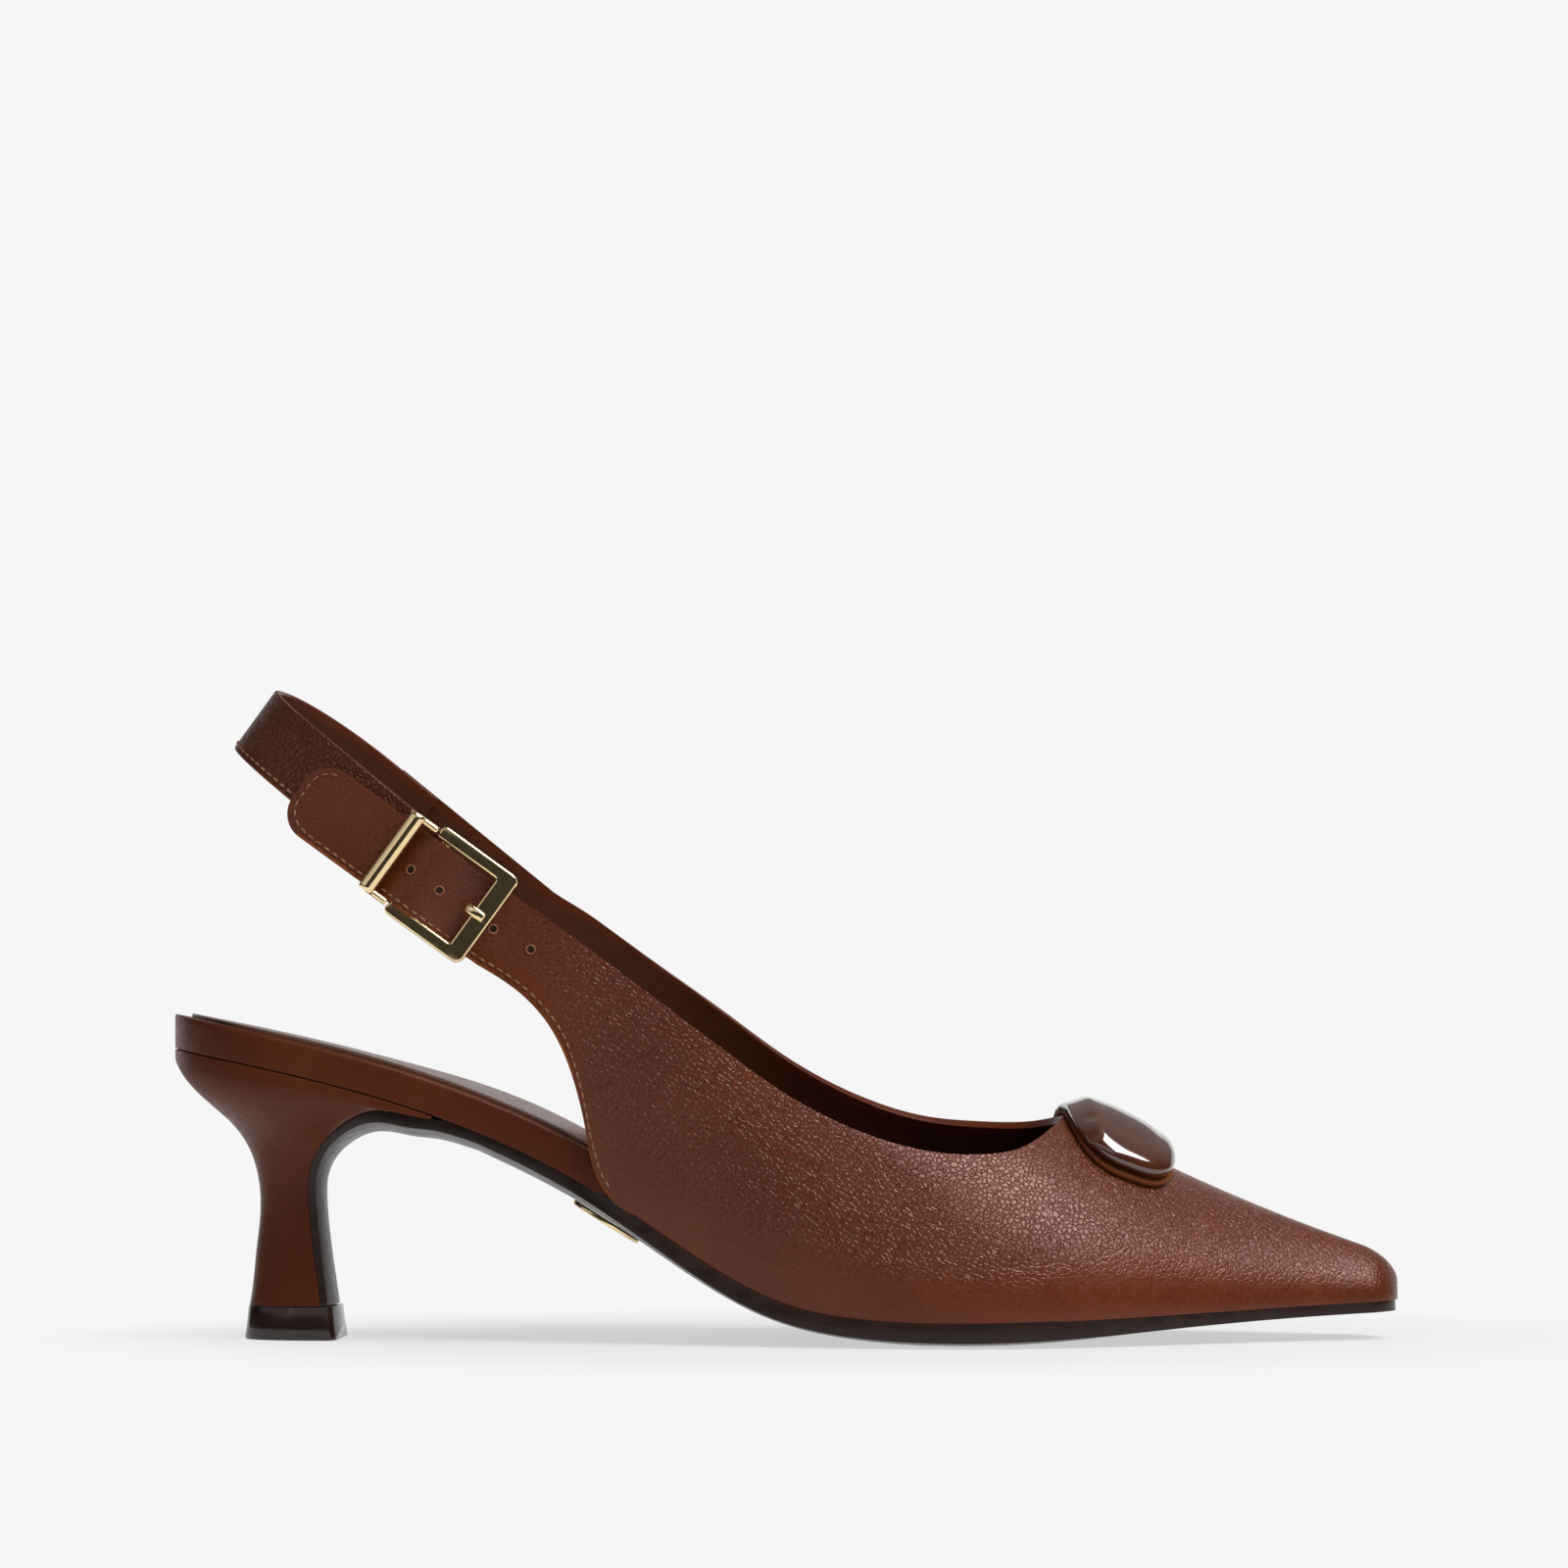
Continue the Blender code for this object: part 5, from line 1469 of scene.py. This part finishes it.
tab_rows = outer_half[FAN_START:]
widths = np.linalg.norm(tab_rows[:, -1] - tab_rows[:, 0], axis=1)
border = np.gradient(tab_rows[:, 0], axis=0)
rib = tab_rows[:, 1] - tab_rows[:, 0]
slant = np.linalg.norm(np.cross(border, rib), axis=1)
slant = slant / np.maximum(np.linalg.norm(border, axis=1) * np.linalg.norm(rib, axis=1), 1e-12)
lower = STITCH_INSET / np.maximum(slant, 0.35) / np.maximum(widths, 1e-6) * (ROWS - 1)
line, normal = inset_line(tab_rows, lower)
back_of = (line - ROOT) @ ALONG
before = back_of > TAB_CORNER - TAB_LENGTH
bend = TAB_CORNER - STITCH_INSET
high_corner = (TAB_CORNER - TAB_LENGTH, -TAB_CORNER)
low_corner = (TAB_CORNER - TAB_LENGTH, TAB_CORNER - STRAP_WIDTH)
tip_line = np.concatenate([arc(low_corner, bend, 265, 180, 12), arc(high_corner, bend, 180, 95, 12)])
tip_points = strap_point(tip_line[:, 0], tip_line[:, 1], tab_y(tip_line[:, 0], LATERAL))
seam = np.concatenate([line[before], tip_points])
seam_out = np.concatenate([-normal[before], np.broadcast_to(OUT, tip_points.shape)])
stitches("edge_stitches", seam, seam_out, STITCH_PITCH, STITCH_LENGTH, STITCH_RADIUS, [thread])

# The sling's lower edge has a row of its own
sling_line = band_points(turns, np.array([SLING_STITCH_INSET - 0.5 * SLING_WIDTH]))[:, 0]
sling_normal = normals_of(sling_grid)[:, 3] * -1
stitches("sling_stitches", sling_line, sling_normal, STITCH_PITCH, STITCH_LENGTH, STITCH_RADIUS, [thread])

# %% Punched holes
PUNCHED = np.array([
    # along, across
    (-0.0250, -0.0081),
    (-0.0178, -0.0081),
    (-0.0046, -0.0080),
    (0.0040, -0.0069),
])
HOLE_RADIUS = 0.0007
RIM_RADIUS = 0.00018
HOLE_LIFT = 0.00008
RIM_SHARE, DISC_SHARE = 1.25, 1.2


def circle_on_tab(hole, radius, out):
    """A circle round a hole, laid on the strap's own bulging face and raised by out."""
    turn = np.linspace(0, 2 * math.pi, 25)
    back = hole[0] + radius * np.cos(turn)
    return strap_point(back, hole[1] + radius * np.sin(turn), tab_y(back, LATERAL) - out)


# The holes are not cut: a thread-coloured ring marks each edge, and a near black disc just over the strap's
# face stands for its inside, a painted shade.
hole_rings, hole_shade_discs = [], []
section = np.linspace(0, 2 * math.pi, 10, endpoint=False)
for hole in PUNCHED:
    ring = [circle_on_tab(hole, HOLE_RADIUS * RIM_SHARE + RIM_RADIUS * c, RIM_RADIUS * s)
            for c, s in zip(np.cos(section), np.sin(section))]
    hole_rings.append((np.stack(ring, 1), False, True))
    disc = [circle_on_tab(hole, HOLE_RADIUS * DISC_SHARE * part, HOLE_LIFT) for part in (0.02, 0.4, 0.7, 1.0)]
    hole_shade_discs.append((np.stack(disc), True, False))
settle(skin("hole_rims", hole_rings, [thread]))
settle(skin("painted_hole_shade", hole_shade_discs, [hole_shade_finish]))
print("holes:", len(hole_rings))

# %% [markdown]
# ## Floor, light and camera
#
# The shoe stands on a pale sheet that runs up into the backdrop without a corner. The sheet
# glows by itself away from the shoe, so that it is even, and only near the shoe does it show
# shade. A large softbox above the toe makes the pebbled highlight on the vamp and the white spot
# on the ornament, a weak one in front and a card at the left lift the metal and the heel's back,
# and the world is dark in front and bright behind. The camera is level and near the floor, and
# its lens is shifted, as a product photographer does to keep verticals upright.

# %% Stage
CAMERA_DISTANCE = 0.830
CAMERA_HEIGHT = 0.050
CAMERA_ASIDE = -0.0007
PHOTO_SIZE = 1600
FOCAL_PIXELS = 4043
HORIZON_PIXEL = 1122
SENSOR = 36.0
PAPER_WHITE = 0.92
SHADE_LONG, SHADE_WIDE, SHADE_FORWARD = 0.130, 0.085, 0.030
SHADE_RAMP = (0.7, 1.6, 0.62, 1.0)
SKY_TOWARDS = (0.0, 0.55, 0.83)
SKY_RAMP = (0.25, 1.0, 0.04, 0.28)


def backdrop():
    """A sheet that ends just before the camera: flat, then a quarter circle up into a wall."""
    turn = np.linspace(0, math.pi / 2, 24)
    ys = np.concatenate([[-0.5, -0.2, 0.0, 1.0], 2.0 + np.sin(turn), [3.0]])
    zs = np.concatenate([[0, 0, 0, 0], 1 - np.cos(turn), [1.4]])
    xs = np.linspace(-4, 4, 9)
    return np.stack(np.broadcast_arrays(xs[None, :], ys[:, None], zs[:, None]), -1)


paper = Finish("pale_paper", (0.60, 0.60, 0.60), 0.9)
spread = paper.add("VectorMath", {0: paper.place, 1: (1 / SHADE_LONG, 1 / SHADE_WIDE, 1.0),
                                  2: (-SHADE_FORWARD / SHADE_LONG, 0, 0)}, operation="MULTIPLY_ADD")
far = paper.add("VectorMath", {0: spread.outputs[0]}, operation="LENGTH").outputs["Value"]
glow = paper.add("Emission", {"Strength": PAPER_WHITE})
blend = paper.add("MixShader", {0: paper.ramp(far, *SHADE_RAMP), 1: paper.principled.outputs[0],
                                2: glow.outputs[0]})
paper.tree.links.new(blend.outputs[0], paper.tree.nodes["Material Output"].inputs[0])
floor = skin("studio_floor", [(backdrop(), True, False)], [paper.material])


def soft_light(name, place_m, target, size, power):
    """A rectangular area light turned to face its target."""
    data = bpy.data.lights.new(name, "AREA")
    data.shape = "RECTANGLE"
    data.size, data.size_y = size
    data.energy = power
    back = unit(np.subtract(place_m, target))
    right = unit(np.cross((0, 0, 1), back))
    into_scene(name, data).matrix_world = placed(place_m, right, np.cross(back, right), back)


soft_light("key_softbox", (0.48, -0.34, 0.84), (0.05, 0, 0.03), (0.57, 0.72), 13.2)
soft_light("front_softbox", (-0.10, -0.85, 0.50), (0.0, 0, 0.03), (1.0, 0.4), 0.7)
soft_light("left_card", (-0.74, -0.50, 0.50), (-0.08, 0, 0.08), (0.8, 0.5), 0.6)

world = bpy.data.worlds.new("studio")
world.use_nodes = True
room = world.node_tree
direction = add_node(room, "TexCoord").outputs["Generated"]
towards = add_node(room, "VectorMath", {0: direction, 1: SKY_TOWARDS}, operation="DOT_PRODUCT")
brightness = ramp_node(room, towards.outputs["Value"], *SKY_RAMP)
room.links.new(brightness, room.nodes["Background"].inputs["Strength"])
room.nodes["Background"].inputs["Color"].default_value = (1, 1, 1, 1)
bpy.context.scene.world = world

camera_data = bpy.data.cameras.new("camera")
camera_data.sensor_width = SENSOR
camera_data.lens = FOCAL_PIXELS * SENSOR / PHOTO_SIZE
camera_data.shift_y = (HORIZON_PIXEL - PHOTO_SIZE / 2) / PHOTO_SIZE
camera = into_scene("camera", camera_data)
camera.location = (CAMERA_ASIDE, -CAMERA_DISTANCE, CAMERA_HEIGHT)
camera.rotation_euler = (math.pi / 2, 0, 0)
bpy.context.scene.camera = camera
bpy.context.scene.view_settings.view_transform = "Standard"
